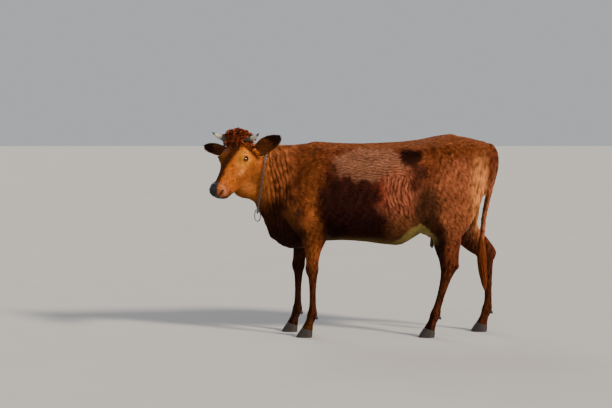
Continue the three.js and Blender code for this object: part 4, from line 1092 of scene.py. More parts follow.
def makeSkinMaterial():
    # Cattle skin under short hair: the hair lies flat, so streaks 40 mm long and 4 mm wide stand for it,
    # and bare skin on the nose, lids and udder is finer and moister.
    material, tree, shader = newMaterial("short_coat_on_skin", {
        "Specular IOR Level": 0.16, "Specular Tint": rgba("#c07a48"), "IOR": 1.45})
    tint = addNode(tree, "ShaderNodeAttribute", {"attribute_name": "coatTint"}).outputs["Color"]
    bare = addNode(tree, "ShaderNodeAttribute", {"attribute_name": "bareness"}).outputs["Fac"]
    upright = addNode(tree, "ShaderNodeAttribute", {"attribute_name": "upright"}).outputs["Fac"]
    face = addNode(tree, "ShaderNodeAttribute", {"attribute_name": "faceShare"}).outputs["Fac"]
    levelHair, uprightHair = stretchedNoise(tree, (24, 230, 230)), stretchedNoise(tree, (230, 230, 24))
    faceHair = stretchedNoise(tree, (300, 300, 120))
    streak = addNode(tree, "ShaderNodeMix", colourMix, {0: upright, 6: levelHair, 7: uprightHair}).outputs[2]
    streak = addNode(tree, "ShaderNodeMix", colourMix, {0: face, 6: streak, 7: faceHair}).outputs[2]
    pores = addNode(tree, "ShaderNodeTexVoronoi", {"Scale": 420.0, "feature": "SMOOTH_F1"},
                    {"Vector": addNode(tree, "ShaderNodeTexCoord").outputs["Object"]}).outputs["Distance"]
    # The streaks also darken the hairy skin to between 0.5 and 1.1 of its tint: painted shade under the
    # tufts. Bare skin keeps its tint.
    shade = addNode(tree, "ShaderNodeMapRange",
                    {"From Min": 0.3, "From Max": 0.7, "To Min": 0.5, "To Max": 1.1},
                    {"Value": streak}).outputs["Result"]
    shade = addNode(tree, "ShaderNodeMix", {**colourMix, 7: (1, 1, 1, 1)}, {0: bare, 6: shade}).outputs[2]
    rough = addNode(tree, "ShaderNodeMapRange", {"To Min": 0.62, "To Max": 0.36}, {"Value": bare})
    height = addNode(tree, "ShaderNodeMix", colourMix, {0: bare, 6: streak, 7: pores}).outputs[2]
    relief = addNode(tree, "ShaderNodeBump", {"Strength": 0.6, "Distance": 0.0016}, {"Height": height})
    colour = addNode(tree, "ShaderNodeMix", colourMultiply, {6: tint, 7: shade}).outputs[2]
    linkTo(tree, shader, {"Base Color": colour, "Roughness": rough.outputs["Result"],
                          "Normal": relief.outputs["Normal"]})
    return material


def makeHairMaterial(name, roughness, sheen, fine=(500, 500, 160)):
    # Hair in locks: red-brown, satin, each lock its own shade, with a finer streak along it.
    material, tree, shader = newMaterial(name, {
        "Roughness": roughness, "Sheen Weight": sheen, "Sheen Roughness": 0.4,
        "Sheen Tint": rgba("#b0602c"), "Specular IOR Level": 0.12, "Specular Tint": rgba("#c07a48")})
    tint = addNode(tree, "ShaderNodeAttribute", {"attribute_name": "coatTint"}).outputs["Color"]
    shade = addNode(tree, "ShaderNodeMapRange",
                    {"From Min": 0.3, "From Max": 0.7, "To Min": 0.8, "To Max": 1.2},
                    {"Value": stretchedNoise(tree, fine)}).outputs["Result"]
    colour = addNode(tree, "ShaderNodeMix", colourMultiply, {6: tint, 7: shade}).outputs[2]
    linkTo(tree, shader, {"Base Color": colour})
    return material


def makeEyeMaterial():
    # A wet eyeball: dark brown iris under a clear, very smooth cornea, so it takes sharp highlights.
    material, tree, shader = newMaterial("wet_eye", {
        "Roughness": 0.08, "Coat Weight": 1.0, "Coat Roughness": 0.02, "IOR": 1.38})
    tint = addNode(tree, "ShaderNodeAttribute", {"attribute_name": "coatTint"}).outputs["Color"]
    linkTo(tree, shader, {"Base Color": tint})
    return material


def makeHornMaterial():
    # Keratin horn: grown in rings, dull and dark at the root, cream and smoother on, black at the tip.
    material, tree, shader = newMaterial("horn_keratin", {"Specular IOR Level": 0.5, "IOR": 1.54})
    along = addNode(tree, "ShaderNodeAttribute", {"attribute_name": "along"}).outputs["Fac"]
    ramp = addNode(tree, "ShaderNodeValToRGB", links={"Fac": along})
    stops = ((0.0, "#241d18"), (0.3, "#3f372e"), (0.42, "#9c907a"), (0.7, "#c4bba6"), (0.86, "#3d352e"),
             (1.0, "#120f0c"))
    for k, (spot, hexColour) in enumerate(stops):
        stop = ramp.color_ramp.elements[k] if k < 2 else ramp.color_ramp.elements.new(spot)
        stop.position, stop.color = spot, rgba(hexColour)
    grain = stretchedNoise(tree, (300, 300, 300), 4.0)
    shade = addNode(tree, "ShaderNodeMapRange", {"To Min": 0.7, "To Max": 1.25}, {"Value": grain}).outputs[0]
    colour = addNode(tree, "ShaderNodeMix", colourMultiply, {6: ramp.outputs["Color"], 7: shade}).outputs[2]
    rough = addNode(tree, "ShaderNodeMapRange", {"To Min": 0.55, "To Max": 0.3}, {"Value": along})
    relief = addNode(tree, "ShaderNodeBump", {"Strength": 0.35, "Distance": 0.0006}, {"Height": grain})
    linkTo(tree, shader, {"Base Color": colour, "Roughness": rough.outputs["Result"],
                          "Normal": relief.outputs["Normal"]})
    return material


def makeHoofMaterial():
    # Hoof horn: dark, satin, worn and dusty in patches, with upright fibres 2 mm wide.
    material, tree, shader = newMaterial("hoof_horn", {"IOR": 1.54, "Specular IOR Level": 0.4})
    fibres = stretchedNoise(tree, (500, 500, 60), 3.0)
    wear = stretchedNoise(tree, (40, 40, 90), 3.0)
    dusty = addNode(tree, "ShaderNodeMix", {**colourMix, 6: rgba("#171210"), 7: rgba("#352b24")},
                    {0: wear}).outputs[2]
    colour = addNode(tree, "ShaderNodeMix", {**colourMultiply, 0: 0.35}, {6: dusty, 7: fibres}).outputs[2]
    rough = addNode(tree, "ShaderNodeMapRange", {"To Min": 0.4, "To Max": 0.72}, {"Value": wear})
    relief = addNode(tree, "ShaderNodeBump", {"Strength": 0.4, "Distance": 0.0008}, {"Height": fibres})
    linkTo(tree, shader, {"Base Color": colour, "Roughness": rough.outputs["Result"],
                          "Normal": relief.outputs["Normal"]})
    return material


def makeSteelMaterial():
    # Galvanised steel: dull grey zinc with brown stains of wear in spots 6 mm across.
    material, tree, shader = newMaterial("galvanised_steel", {"Metallic": 1.0})
    stain = stretchedNoise(tree, (170, 170, 170), 4.0)
    mask = addNode(tree, "ShaderNodeMapRange", {"From Min": 0.5, "From Max": 0.68},
                   {"Value": stain}).outputs[0]
    colour = addNode(tree, "ShaderNodeMix", {**colourMix, 6: rgba("#6e6f70"), 7: rgba("#43372e")},
                     {0: mask}).outputs[2]
    rough = addNode(tree, "ShaderNodeMapRange", {"To Min": 0.36, "To Max": 0.7}, {"Value": mask})
    linkTo(tree, shader, {"Base Color": colour, "Roughness": rough.outputs["Result"]})
    return material


def makeFloorMaterial():
    # Painted studio floor: pale, matt, with hardly a mark.
    material, tree, shader = newMaterial("studio_floor", {"Roughness": 0.9, "Specular IOR Level": 0.2})
    cloud = stretchedNoise(tree, (1.5, 1.5, 1.5), 2.0)
    colour = addNode(tree, "ShaderNodeMix", {**colourMix, 6: rgba("#aeaca8"), 7: rgba("#b4b2af")},
                     {0: cloud}).outputs[2]
    linkTo(tree, shader, {"Base Color": colour})
    return material


skin.data.materials.clear()
skin.data.materials.append(makeSkinMaterial())
coatMaterial = makeHairMaterial("short_coat_tufts", 0.55, 0.0)
longHairMaterial = makeHairMaterial("long_hair_locks", 0.46, 0.03, (700, 700, 90))
steelMaterial = makeSteelMaterial()


def joinModel(thing, slot, *nodes):  # joins a piece to the model and hides the solids it stands for
    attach(thing, "root")
    if nodes:
        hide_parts(*nodes)


# The short coat: thin closed tufts scattered over the skin. A tuft has two root corners, a raised back
# and a tip: left and right = root +- half width, back = root + rise, tip = root + length along the lie.
coat = {  # spacing is the skin in mm2 that each tuft has to itself
    "trunk": {"spacing": 24, "length": 27, "width": 4.6, "lift": 4.6},
    "neck": {"spacing": 17, "length": 29, "width": 4.4, "lift": 4.6},
    "legs": {"spacing": 15, "length": 15, "width": 3.2, "lift": 2.6},
    "head": {"spacing": 8.0, "length": 11, "width": 2.1, "lift": 1.9},
    "tail": {"spacing": 12, "length": 26, "width": 3.4, "lift": 2.4},
    "ear": {"spacing": 6.5, "length": 12, "width": 2.0, "lift": 1.0},
    "udder": {"spacing": 40, "length": 9, "width": 2.0, "lift": 1.0},
}
coatNumbers = np.array([[kind[k] for k in ("spacing", "length", "width", "lift")] for kind in coat.values()])
tuft = {"sink": 0.8, "backAt": 0.25, "sway": 0.10, "lean": 0.55, "patch": 0.0015,
        "lengths": (0.78, 1.22), "widths": (0.8, 1.2), "ownShade": 0.22,
        "swirl": (0.30, 55), "lick": (0.16, 21), "stray": 0.12,  # turn of the lie, and size in mm
        # The root corners are painted shade near the skin, and the tip is painted light.
        "shades": (0.4, 0.4, 0.95, 1.3)}  # shades of the two root corners, the back and the tip


def coatShares(r, ear):  # how much of each kind of coat grows at each point; the shares add up to one
    names = list(coat)
    share = np.zeros((len(ear), len(names)))
    share[:, 0] = 1
    for name, part in (("legs", r["legs"]), ("neck", r["neck"]), ("tail", r["tail"]), ("udder", r["udder"]),
                       ("head", r["head"]), ("ear", ear)):
        share *= (1 - part)[:, None]
        share[:, names.index(name)] += part
    return share


def aroundShare(a, b):  # the angle of a and b as a share of a whole turn
    return np.arctan2(a, b) / (2 * math.pi) + 0.5


def roundAxis(p, ear, r):  # place on an unwrap of the skin: along each part's axis and the angle round it
    x, y, z = p.T
    u, v = (x + 520) / 1500, aroundShare(y, z - 930)
    fore = x < 150
    centreX = np.where(fore, np.where(y < 0, -245, -338), np.interp(z, [50, 500, 700], [700, 740, 660]))
    centreX = np.where(~fore & (y < 0), np.interp(z, [50, 200, 500, 700], [520, 563, 626, 618]), centreX)
    centreX = np.where(~fore & (y > 0), np.interp(z, [50, 200, 500, 700], [885, 914, 890, 740]), centreX)
    turn = aroundShare(np.abs(y) - 146, x - centreX)
    leg = r["legs"] > 0.5
    u, v = np.where(leg, z / 700, u), np.where(leg, (turn + (y > 0)) / 2, v)
    tail = r["tail"] > 0.5
    behind, right = fromTail(p)
    u, v = np.where(tail, (z - 600) / 640, u), np.where(tail, aroundShare(right, behind), v)
    head = (r["head"] > 0.5) & (ear < 0.5)
    u, v = np.where(head, (r["f"] + 60) / 520 * 0.7, u), np.where(head, aroundShare(r["l"], r["u"] + 85), v)
    for k, side in enumerate(("left", "right")):
        base, run, opening, broad = earAxes(side)
        offset = p - base
        here = (ear >= 0.5) & ((r["l"] > 0) == (side == "left"))
        back = offset @ opening < -2
        u = np.where(here, 0.72 + 0.26 * np.clip(offset @ run / (run @ run), 0, 1), u)
        v = np.where(here, 0.5 * k + 0.12 + 0.24 * back + offset @ broad / 1200, v)
    return np.clip(np.stack([u, v], 1), 0.004, 0.992)


def tuftObject(name, root, normal, lie, size, colour, unwrap):  # four corners and four faces to each tuft
    length, width, lift = size.T
    side = np.cross(normal, lie)
    rise = 0.25 * lift + 0.3 * width
    half = side * (width / 2)[:, None]
    deep = root - normal * tuft["sink"]
    back = root + normal * rise[:, None] + lie * (tuft["backAt"] * length)[:, None]
    sway = side * (random.normal(0, tuft["sway"], len(root)) * length)[:, None]
    tip = root + normal * lift[:, None] + lie * length[:, None] + sway
    points = np.stack([deep + half, deep - half, back, tip], 1).reshape(-1, 3)
    first = np.arange(len(root))[:, None, None] * 4
    faces = (first + np.array([[1, 0, 3], [0, 1, 2], [0, 2, 3], [1, 3, 2]])).reshape(-1, 3)
    thing = arrayMesh(name, points, faces, coatMaterial)
    lean = side * tuft["lean"]
    bend = np.stack([normal + lean - lie * 0.1, normal - lean - lie * 0.1, normal, normal + lie * 0.25],
                    1).reshape(-1, 3)
    thing.data.normals_split_custom_set_from_vertices(unit(bend).astype(np.float32))
    # Each tuft is darker at its root corners and lighter at its tip: painted shade and painted light.
    shade = np.array(tuft["shades"])[None, :, None]
    giveNumbers(thing, "coatTint", np.clip(colour[:, None] * shade, 0, 1).reshape(-1, 3))
    step = tuft["patch"]
    patch = np.array([[0, step], [0, -step], [0.001, 0], [0.003, 0]])  # each tuft's patch on the map
    giveMap(thing, (unwrap[:, None] + patch).reshape(-1, 2)[faces.ravel()])
    return thing


def scatter(points, triangles, density):  # spots spread evenly: one draw from each equal share of the area
    a, b, c = (points[triangles[:, k]] for k in range(3))
    area = np.linalg.norm(np.cross(b - a, c - a), axis=1) / 2
    total = np.cumsum(area * density[triangles].mean(axis=1))
    count = int(total[-1])
    pick = np.minimum(np.searchsorted(total, np.arange(count) + random.random(count)), len(area) - 1)
    u, v = random.random((2, count))
    folded = u + v > 1
    u, v = np.where(folded, 1 - u, u), np.where(folded, 1 - v, v)
    return triangles[pick], np.stack([1 - u - v, u, v], 1)


def spread(values, corners, share):  # values at the scattered spots, from those at the mesh's points
    return np.einsum("ij,ij...->i...", share, values[corners])


skin.data.calc_loop_triangles()
skinTriangles = readOut(skin.data.loop_triangles, "vertices", 3, np.int32)
shares = coatShares(skinR, earShare)
density = shares @ (1 / coatNumbers[:, 0])
density *= 1 - 0.8 * softStep(skinR["poll"], 0.2, 0.7)
density *= softStep(bareness - 0.7 * skinR["udder"], 0.75, 0.25)
density *= softStep(skinP[:, 2], 24, 40)
corners, share = scatter(skinP, skinTriangles, density)
root = spread(skinP, corners, share)
normal = unit(spread(skinN, corners, share))
rootR = regions(root)
rootEar = spread(earShare, corners, share)
earsAsHead(rootR, rootEar)
kinds = coatShares(rootR, rootEar)
size = kinds @ coatNumbers[:, 1:]
lie = lieOf(root, normal, rootR)
for side, s in (("left", 1), ("right", -1)):
    base, run, opening, broad = earAxes(side)
    onEar = (rootEar > 0.3) & (rootR["l"] * s > 0)
    lie[onEar] = unit(run) + 0.35 * broad * np.sign((root[onEar] - base) @ broad)[:, None]
lie = alongSkin(lie, normal)
(swirl, swirlSize), (lick, lickSize) = tuft["swirl"], tuft["lick"]
clump = (swirl * waves(root, swirlSize, 71) + lick * waves(root, lickSize, 72)
         + random.normal(0, tuft["stray"], len(root)))
sideways = np.cross(normal, lie)
lie = alongSkin(lie + sideways * (clump * (1 - 0.5 * rootR["head"]))[:, None], normal)
lockShare, lock, rippleShare, ripple = barrelLocks(root)
crest = lockShare * (0.5 + 0.5 * np.cos(lock)) + 0.6 * rippleShare * (0.5 + 0.5 * np.cos(ripple))
ridge = rootR["neck"] * (0.5 - 0.5 * np.cos(neckPhase(root)))
size[:, 0] *= random.uniform(*tuft["lengths"], len(root)) * (1 + 0.25 * lockShare - 0.3 * rippleShare)
size[:, 1] *= random.uniform(*tuft["widths"], len(root))
size[:, 2] *= (0.75 + 0.25 * random.random(len(root))) * (0.8 + 0.45 * np.clip(crest + 0.5 * ridge, 0, 1))
rootColour = coatColour(root, normal, rootR, rootEar)
# A random tone for each tuft, and painted sheen on tufts at the crests of the locks and ripples.
ownShade = 1 + random.normal(0, tuft["ownShade"], len(root)) + 0.16 * (crest - 0.3 * lockShare)
rootColour *= np.clip(ownShade, 0.3, 1.8)[:, None]
nearEye = np.min([np.linalg.norm(root - centre, axis=1) for centre in eyeCentres.values()], axis=0)
size[:, 0] *= softStep(nearEye, 20, 48) * 0.6 + 0.4
rootMap = roundAxis(root, rootEar, rootR)
head = rootR["head"] > 0.5
neck = ~head & (rootR["neck"] > 0.5)
tail = ~head & (rootR["tail"] > 0.5)
legs = ~head & ~neck & ~tail & (root[:, 2] < 640)
trunk = ~(head | neck | tail | legs)
fore = root[:, 0] < 170
left = root[:, 1] < 0
coatPieces = {
    "coat_head": head, "coat_neck": neck, "coat_tail": tail, "coat_legs_fore": legs & fore,
    "coat_legs_hind": legs & ~fore, "coat_barrel_left": trunk & fore & left,
    "coat_barrel_right": trunk & fore & ~left, "coat_quarter_left": trunk & ~fore & left,
    "coat_quarter_right": trunk & ~fore & ~left,
}
for name, here in coatPieces.items():
    thing = tuftObject(name, root[here], normal[here], lie[here], size[here], rootColour[here], rootMap[here])
    joinModel(thing, "coat")
    print(f"{name}: {here.sum()} tufts")


# Locks: closed tubes round many centre lines at once. lines is (locks, rings, 3), radius (locks, rings).
# Each ring is the line plus the radius turned round the line's own direction, and a fan closes each end.
def lockObject(name, lines, radius, colour, guide, around, unwrap, nodes=()):
    count, rings = lines.shape[:2]
    tangent = unit(np.gradient(lines, axis=1))
    out = unit(np.cross(tangent, guide[:, None]))
    deep = np.cross(tangent, out)
    turn = np.linspace(0, 2 * math.pi, around, endpoint=False)
    ring = (np.cos(turn)[:, None] * out[:, :, None] + np.sin(turn)[:, None] * deep[:, :, None])
    points = lines[:, :, None] + ring * radius[:, :, None, None]
    i, j = np.meshgrid(np.arange(rings - 1), np.arange(around), indexing="ij")
    here, right = i * around + j, i * around + (j + 1) % around
    walls = np.concatenate([np.stack([here, right, right + around], -1).reshape(-1, 3),
                            np.stack([here, right + around, here + around], -1).reshape(-1, 3)])
    last = (rings - 1) * around
    caps = [[0, k + 1, k] for k in range(1, around - 1)]
    caps += [[last, last + k, last + k + 1] for k in range(1, around - 1)]
    faces = np.concatenate([walls, np.array(caps)])
    faces = (np.arange(count)[:, None, None] * rings * around + faces).reshape(-1, 3)
    thing = arrayMesh(name, points.reshape(-1, 3), faces, longHairMaterial)
    giveNumbers(thing, "coatTint", np.clip(np.repeat(colour.reshape(count * rings, 3), around, axis=0), 0, 1))
    steps = np.linspace(0, 0.003, rings)[:, None] * np.array([1, 0]) - np.array([0.0015, 0])
    sidesteps = np.linspace(-0.0015, 0.0015, around)[:, None] * np.array([0, 1])
    patch = (steps[:, None] + sidesteps[None]).reshape(-1, 2)
    giveMap(thing, (unwrap[:, None] + patch).reshape(-1, 2)[faces.ravel()])
    joinModel(thing, "long_hair", *nodes)
    print(f"{name}: {count} locks, {len(faces)} triangles")


# Curls on the poll: each lock winds round a line that leaves the skin and falls outward and forward.
curls = {"spacing": 44, "length": 56, "radius": 7.0, "turns": 1.7, "wire": 3.3, "rings": 12, "fall": 0.62,
         "lengths": (0.7, 1.2), "windings": (0.8, 1.2), "radii": (0.7, 1.15), "wires": (0.75, 1.2),
         "shades": [0.25, 0.9, 1.6]}
corners, share = scatter(skinP, skinTriangles, softStep(skinR["poll"], 0.25, 0.75) / curls["spacing"])
root = spread(skinP, corners, share)
normal = unit(spread(skinN, corners, share))
r = regions(root)
count = len(root)
fall = np.stack([0.35 + 0.9 * softStep(r["f"], -10, 30), np.full(count, -0.5), r["l"] / 70], 1) @ headAxes
fall = alongSkin(fall + 0.5 * random.normal(size=(count, 3)), normal)
side = np.cross(normal, fall)
t = np.linspace(0, 1, curls["rings"])[None, :]
length = curls["length"] * random.uniform(*curls["lengths"], count)[:, None]
winding = random.uniform(*curls["windings"], count)[:, None]
turn = 2 * math.pi * curls["turns"] * t * winding + 6.3 * random.random((count, 1))
radius = curls["radius"] * random.uniform(*curls["radii"], count)[:, None] * softStep(t, -0.15, 0.3)
rise = 1 + 3.0 * np.sin(math.pi * 0.62 * t) + radius * np.cos(turn)
lines = (root[:, None] + normal[:, None] * rise[..., None]
         + fall[:, None] * (curls["fall"] * length * t)[..., None]
         + side[:, None] * (radius * np.sin(turn))[..., None])
lines[:, 0] = root - normal * 2
wire = curls["wire"] * (1 - 0.55 * t ** 2) * random.uniform(*curls["wires"], count)[:, None]
# Painted shade and light: each curl is darker where it winds in towards the skin and lighter on its outer
# side and towards its end, then takes one of three random tones.
shade = 0.5 + 0.6 * np.cos(turn)[..., None] + 0.4 * t[..., None]
shade = shade * random.choice(curls["shades"], (count, 1, 1))
tint = linear(faceColours["poll"]) * shade
lockObject("poll_curls", lines, wire, tint, normal, 4, roundAxis(root, np.zeros(count), r))

# The fringe: wavy locks that hang from the front of the poll over the brow.
fringe = {"count": 190, "length": 44, "width": 2.6, "rings": 9, "along": (4, 34), "above": 60.0,
          "across": (-62, 30), "drop": 130}
count = fringe["count"]
seed = inHead(np.stack([random.uniform(*fringe["along"], count), np.full(count, fringe["above"]),
                        random.uniform(*fringe["across"], count)], 1))
drop = np.linspace(0, fringe["drop"], fringe["drop"] + 1)
probe = seed[:, None] - browward * drop[None, :, None]
inside = skinDistance(probe.reshape(-1, 3)).reshape(count, -1) < 0
hit = np.argmax(inside, axis=1)
root = seed - browward * (hit - 1.0)[:, None]
r = regions(root)
fall = unit(np.stack([np.ones(count), random.normal(-0.1, 0.12, count),
                      r["l"] / 160 + random.normal(0, 0.3, count)], 1)) @ headAxes
length = fringe["length"] * random.uniform(0.6, 1.15, count)[:, None]
t = np.linspace(0, 1, fringe["rings"])[None, :]
sway = 5.0 * np.sin(2 * math.pi * (1.1 * t + random.random((count, 1)))) * t
sideways = np.cross(np.broadcast_to(browward, fall.shape), fall)
bow = 9 * np.sin(math.pi * t ** 0.7) - 16 * t ** 2
lines = (root[:, None] + fall[:, None] * (length * t)[..., None] + browward * bow[..., None]
         + sideways[:, None] * sway[..., None])
wire = fringe["width"] * (1 - 0.8 * t ** 2) * random.uniform(0.6, 1.2, (count, 1))
tint = linear(faceColours["poll"]) * ((0.6 + 0.5 * t)[..., None] * random.uniform(0.6, 1.3, (count, 1, 1)))
lockObject("poll_fringe", lines, wire, tint, np.broadcast_to(browward, (count, 3)), 4,
           roundAxis(root, np.zeros(count), r))

# The switch of the tail: long hairs in locks round a dark core, spreading and closing again to a point. The
# dark core is painted shade inside the switch.
switch = {"line": [(857, -22, 652), (855, -22, 590), (856, -23, 520), (862, -24, 430), (872, -26, 345),
                   (878, -26, 290)],
          "radii": [15, 26, 32, 31, 22, 6], "locks": 900, "rings": 12, "wire": 1.7, "colour": "#6b3519",
          "core": "#2a130a", "coreShare": 0.72, "coreRings": 40, "coreAround": 24}
t = np.linspace(0, 1, switch["coreRings"])
coreLine = curveAlong(switch["line"], 0.02 + 0.9 * t)
coreRadius = curveAlong(np.array(switch["radii"])[:, None], 0.02 + 0.9 * t)[:, 0] * switch["coreShare"] - 1
corePoints = sweptTube(coreLine, coreRadius, switch["coreAround"])
core = meshObject("tail_switch_shade_core", corePoints, tubeFaces(switch["coreRings"], switch["coreAround"]),
                  longHairMaterial)
giveNumbers(core, "coatTint", plain(switch["core"], len(corePoints)))
giveMap(core, np.tile([0.5, 0.5], (len(core.data.loops), 1)))
joinModel(core, "long_hair")
count, rings = switch["locks"], switch["rings"]
begin = random.uniform(0, 0.62, count) ** 1.3
end = np.clip(begin + random.uniform(0.34, 0.55, count), 0, 1)
t = begin[:, None] + (end - begin)[:, None] * np.linspace(0, 1, rings)[None]
angle = 2 * math.pi * random.random((count, 1)) + 0.5 * (t - begin[:, None]) * random.normal(0, 1, (count, 1))
reach = np.sqrt(random.uniform(0.35, 1, (count, 1))) * np.linspace(0.8, 1, rings)
reach += 0.06 * np.sin(2 * math.pi * (2.2 * t + random.random((count, 1))))
middle = curveAlong(switch["line"], t.ravel()).reshape(count, rings, 3)
wide = curveAlong(np.array(switch["radii"])[:, None], t.ravel())[:, 0].reshape(count, rings) - 1.8
lines = middle + (np.clip(reach, 0, 1) * wide)[..., None] * np.stack(
    [np.cos(angle), np.sin(angle), np.zeros_like(angle)], -1)
wire = switch["wire"] * (1 - 0.75 * np.linspace(0, 1, rings) ** 2) * random.uniform(0.7, 1.4, (count, 1))
tint = linear(switch["colour"]) * random.uniform(0.5, 1.5, (count, 1, 1))
tint = tint * np.linspace(0.8, 1.1, rings)[:, None]
outward = np.stack([np.cos(angle[:, 0]), np.sin(angle[:, 0]), np.zeros(count)], 1)
lockMap = np.stack([0.05 + 0.9 * begin, (angle[:, 0] / (2 * math.pi)) % 1 * 0.95 + 0.02], 1)
lockObject("tail_switch_locks", lines, wire, tint, outward, 3, lockMap, ("tail_switch",))

# Long hairs that guard the hollow of each ear, and lashes on the upper lids.
earHair = {"count": 330, "length": 40, "wire": 0.9, "rings": 7, "colour": "#6a3d22"}
lashes = {"count": 46, "length": 17, "wire": 0.55, "rings": 6, "colour": "#1a0d08"}
for side, s in (("left", 1), ("right", -1)):
    base, run, opening, broad = earAxes(side)
    count = earHair["count"]
    start, w = random.uniform(0.08, 0.5, count), random.uniform(-0.95, 0.95, count)
    t = np.linspace(0, 1, earHair["rings"])[None, :]
    share = earHair["length"] / np.linalg.norm(run) * t
    along = start[:, None] + share * random.uniform(0.6, 1.2, (count, 1))
    wide = w[:, None] * (1 - 0.45 * t)
    lift = 2 + 9 * np.sin(math.pi * 0.6 * t) * random.uniform(0.4, 1.1, (count, 1))
    lines = (base + run * along[..., None] + broad * (earHalf(along) * wide)[..., None]
             + opening * (earFold(along, wide) + lift)[..., None])
    wire = earHair["wire"] * (1 - 0.8 * t ** 2) * random.uniform(0.7, 1.3, (count, 1))
    tint = linear(earHair["colour"]) * random.uniform(0.5, 1.3, (count, 1, 1)) * np.ones_like(lines)
    spots = np.stack([0.72 + 0.26 * start, 0.25 + 0.5 * (s < 0) + 0.1 * w], 1)
    lockObject(f"ear_hair_{side}", lines, wire, tint, np.broadcast_to(opening, (count, 3)), 3, spots)

    count = lashes["count"]
    spot = np.linspace(-0.9, 0.92, count) * lidShape["half"]
    above = lidShape["open"] * (1 - (spot / lidShape["half"]) ** 2) + 0.8
    axes = np.array([gaze, lidLong, lidUp]) * np.array([1, 1, s]) @ headAxes
    rim = np.sqrt(np.maximum(lidShape["ball"] ** 2 - spot ** 2 - above ** 2, 1)) - 0.6
    root = eyeCentres[side] + rim[:, None] * axes[0] + spot[:, None] * axes[1] + above[:, None] * axes[2]
    t = np.linspace(0, 1, lashes["rings"])[None, :]
    length = lashes["length"] * random.uniform(0.75, 1.1, (count, 1)) * (1 - 0.4 * (spot / 17) ** 2)[:, None]
    lines = (root[:, None] + axes[0] * (length * t * (1 - 0.25 * t))[..., None]
             + axes[2] * (length * (0.18 * t + 0.25 * t ** 2))[..., None]
             + axes[1] * (length * 0.012 * spot[:, None] * t)[..., None])
    wire = lashes["wire"] * (1 - 0.8 * t ** 2) * np.ones((count, 1))
    tint = np.broadcast_to(linear(lashes["colour"]), lines.shape)
    lockObject(f"lashes_{side}", lines, wire, tint, np.broadcast_to(axes[1], (count, 3)), 3,
               np.stack([0.2 + spot / 400, np.full(count, 0.5 + 0.2 * s)], 1))


# Eyeballs: spheres whose pole looks along the gaze; the pupil is a level oval, the iris has fine spokes.
iris = {"pupil": (8.2, 4.6), "edge": (11.5, 13.5), "white": (14.2, 16.5), "spokes": 46, "brown": "#4a2714",
        "rim": "#0b0605", "whiteColour": "#6e5a50", "pupilColour": "#050303", "rings": 72, "around": 96}


def eyeObject(side, s):  # point = centre + radius x (cos a along the gaze, sin a turned round it by b)
    t = np.linspace(0.012, 1, iris["rings"]) ** 1.5 * math.pi * 0.97
    turn = np.linspace(0, 2 * math.pi, iris["around"], endpoint=False)
    axes = np.array([gaze, lidLong, lidUp]) * np.array([1, 1, s]) @ headAxes
    a, b = np.meshgrid(t, turn, indexing="ij")
    way = (np.cos(a)[..., None] * axes[0] + (np.sin(a) * np.cos(b))[..., None] * axes[1]
           + (np.sin(a) * np.sin(b))[..., None] * axes[2])
    bulge = eyeShape["radius"] - 0.12
    points = eyeCentres[side] + way.reshape(-1, 3) * bulge
    long, high = (np.sin(a) * np.cos(b)).ravel() * bulge, (np.sin(a) * np.sin(b)).ravel() * bulge
    pupil = softStep(np.hypot(long / iris["pupil"][0], high / iris["pupil"][1]), 1.06, 0.94)
    rim = np.hypot(long, high * 1.06)
    colour = plain(iris["brown"], len(long))
    colour *= (1 + 0.35 * np.sin(np.arctan2(high, long) * iris["spokes"]) * softStep(rim, 5, 9))[:, None]
    colour = paint(colour, iris["rim"], softStep(rim, *iris["edge"]))
    colour = paint(colour, iris["whiteColour"], softStep(rim, *iris["white"]) * (np.cos(a).ravel() > 0))
    colour = paint(colour, iris["pupilColour"], pupil)
    faces = tubeFaces(iris["rings"], iris["around"])
    thing = meshObject(f"eyeball_{side}", points, faces, makeEyeMaterial())
    giveNumbers(thing, "coatTint", colour)
    mendFaces(thing)
    joinModel(thing, "eye", f"eye_{side}")


# Horns: a tapering sheath along a curve, ringed near the root: radius = taper x (1 + shallow rings).
horn = {"root": 19.5, "tip": 2.3, "rings": 120, "around": 40, "ringPitch": 7, "ringDepth": 0.024,
        "shrink": 0.975, "curve": [(10, 4, 62), (10, 16, 144), (-2, 56, 174)]}  # spots of the left one


def hornObject(side, s):
    t = np.linspace(0, 1, horn["rings"])[:, None]
    a, b, c = (inHead((along, height, s * out)) for along, height, out in horn["curve"])
    line = (1 - t) ** 2 * a + 2 * t * (1 - t) * b + t * t * c
    t = t[:, 0]
    length = np.concatenate([[0], np.cumsum(np.linalg.norm(np.diff(line, axis=0), axis=1))])
    ring = (horn["ringDepth"] * np.sin(length / horn["ringPitch"] * 2 * math.pi + 0.6 * np.sin(length / 9))
            * softStep(t, 0.62, 0.3))
    close = roundEnd(t, 0.965, 0.035, 0.01)
    radius = (horn["root"] * (1 - t) ** 0.7 + horn["tip"]) * (1 + ring) * close * horn["shrink"]
    points = sweptTube(line, radius, horn["around"])
    thing = meshObject(f"horn_sheath_{side}", points, tubeFaces(horn["rings"], horn["around"]), hornMaterial)
    giveNumbers(thing, "along", np.repeat(t, horn["around"]))
    mendFaces(thing)
    joinModel(thing, "horn", f"horn_{side}")


# Hooves: rings from the sole to the coronet round a half-moon plan: place = middle - toeward x reach,
# half width narrower at the toe; growth lines ripple the wall and the sole is flat.
hoof = {"length": 104, "width": 46, "coronetShrink": 0.8, "slope": 0.3, "ringPitch": 5.5, "around": 64,
        "wallRings": 34, "ringDepth": 0.010, "shrink": 0.985, "gap": 1.5}
dewclaw = {"length": 23, "radius": 11.2, "taper": 4.2, "lean": 0.64, "rings": 26, "around": 28,
           "behind": 28, "below": 24, "apart": 16}


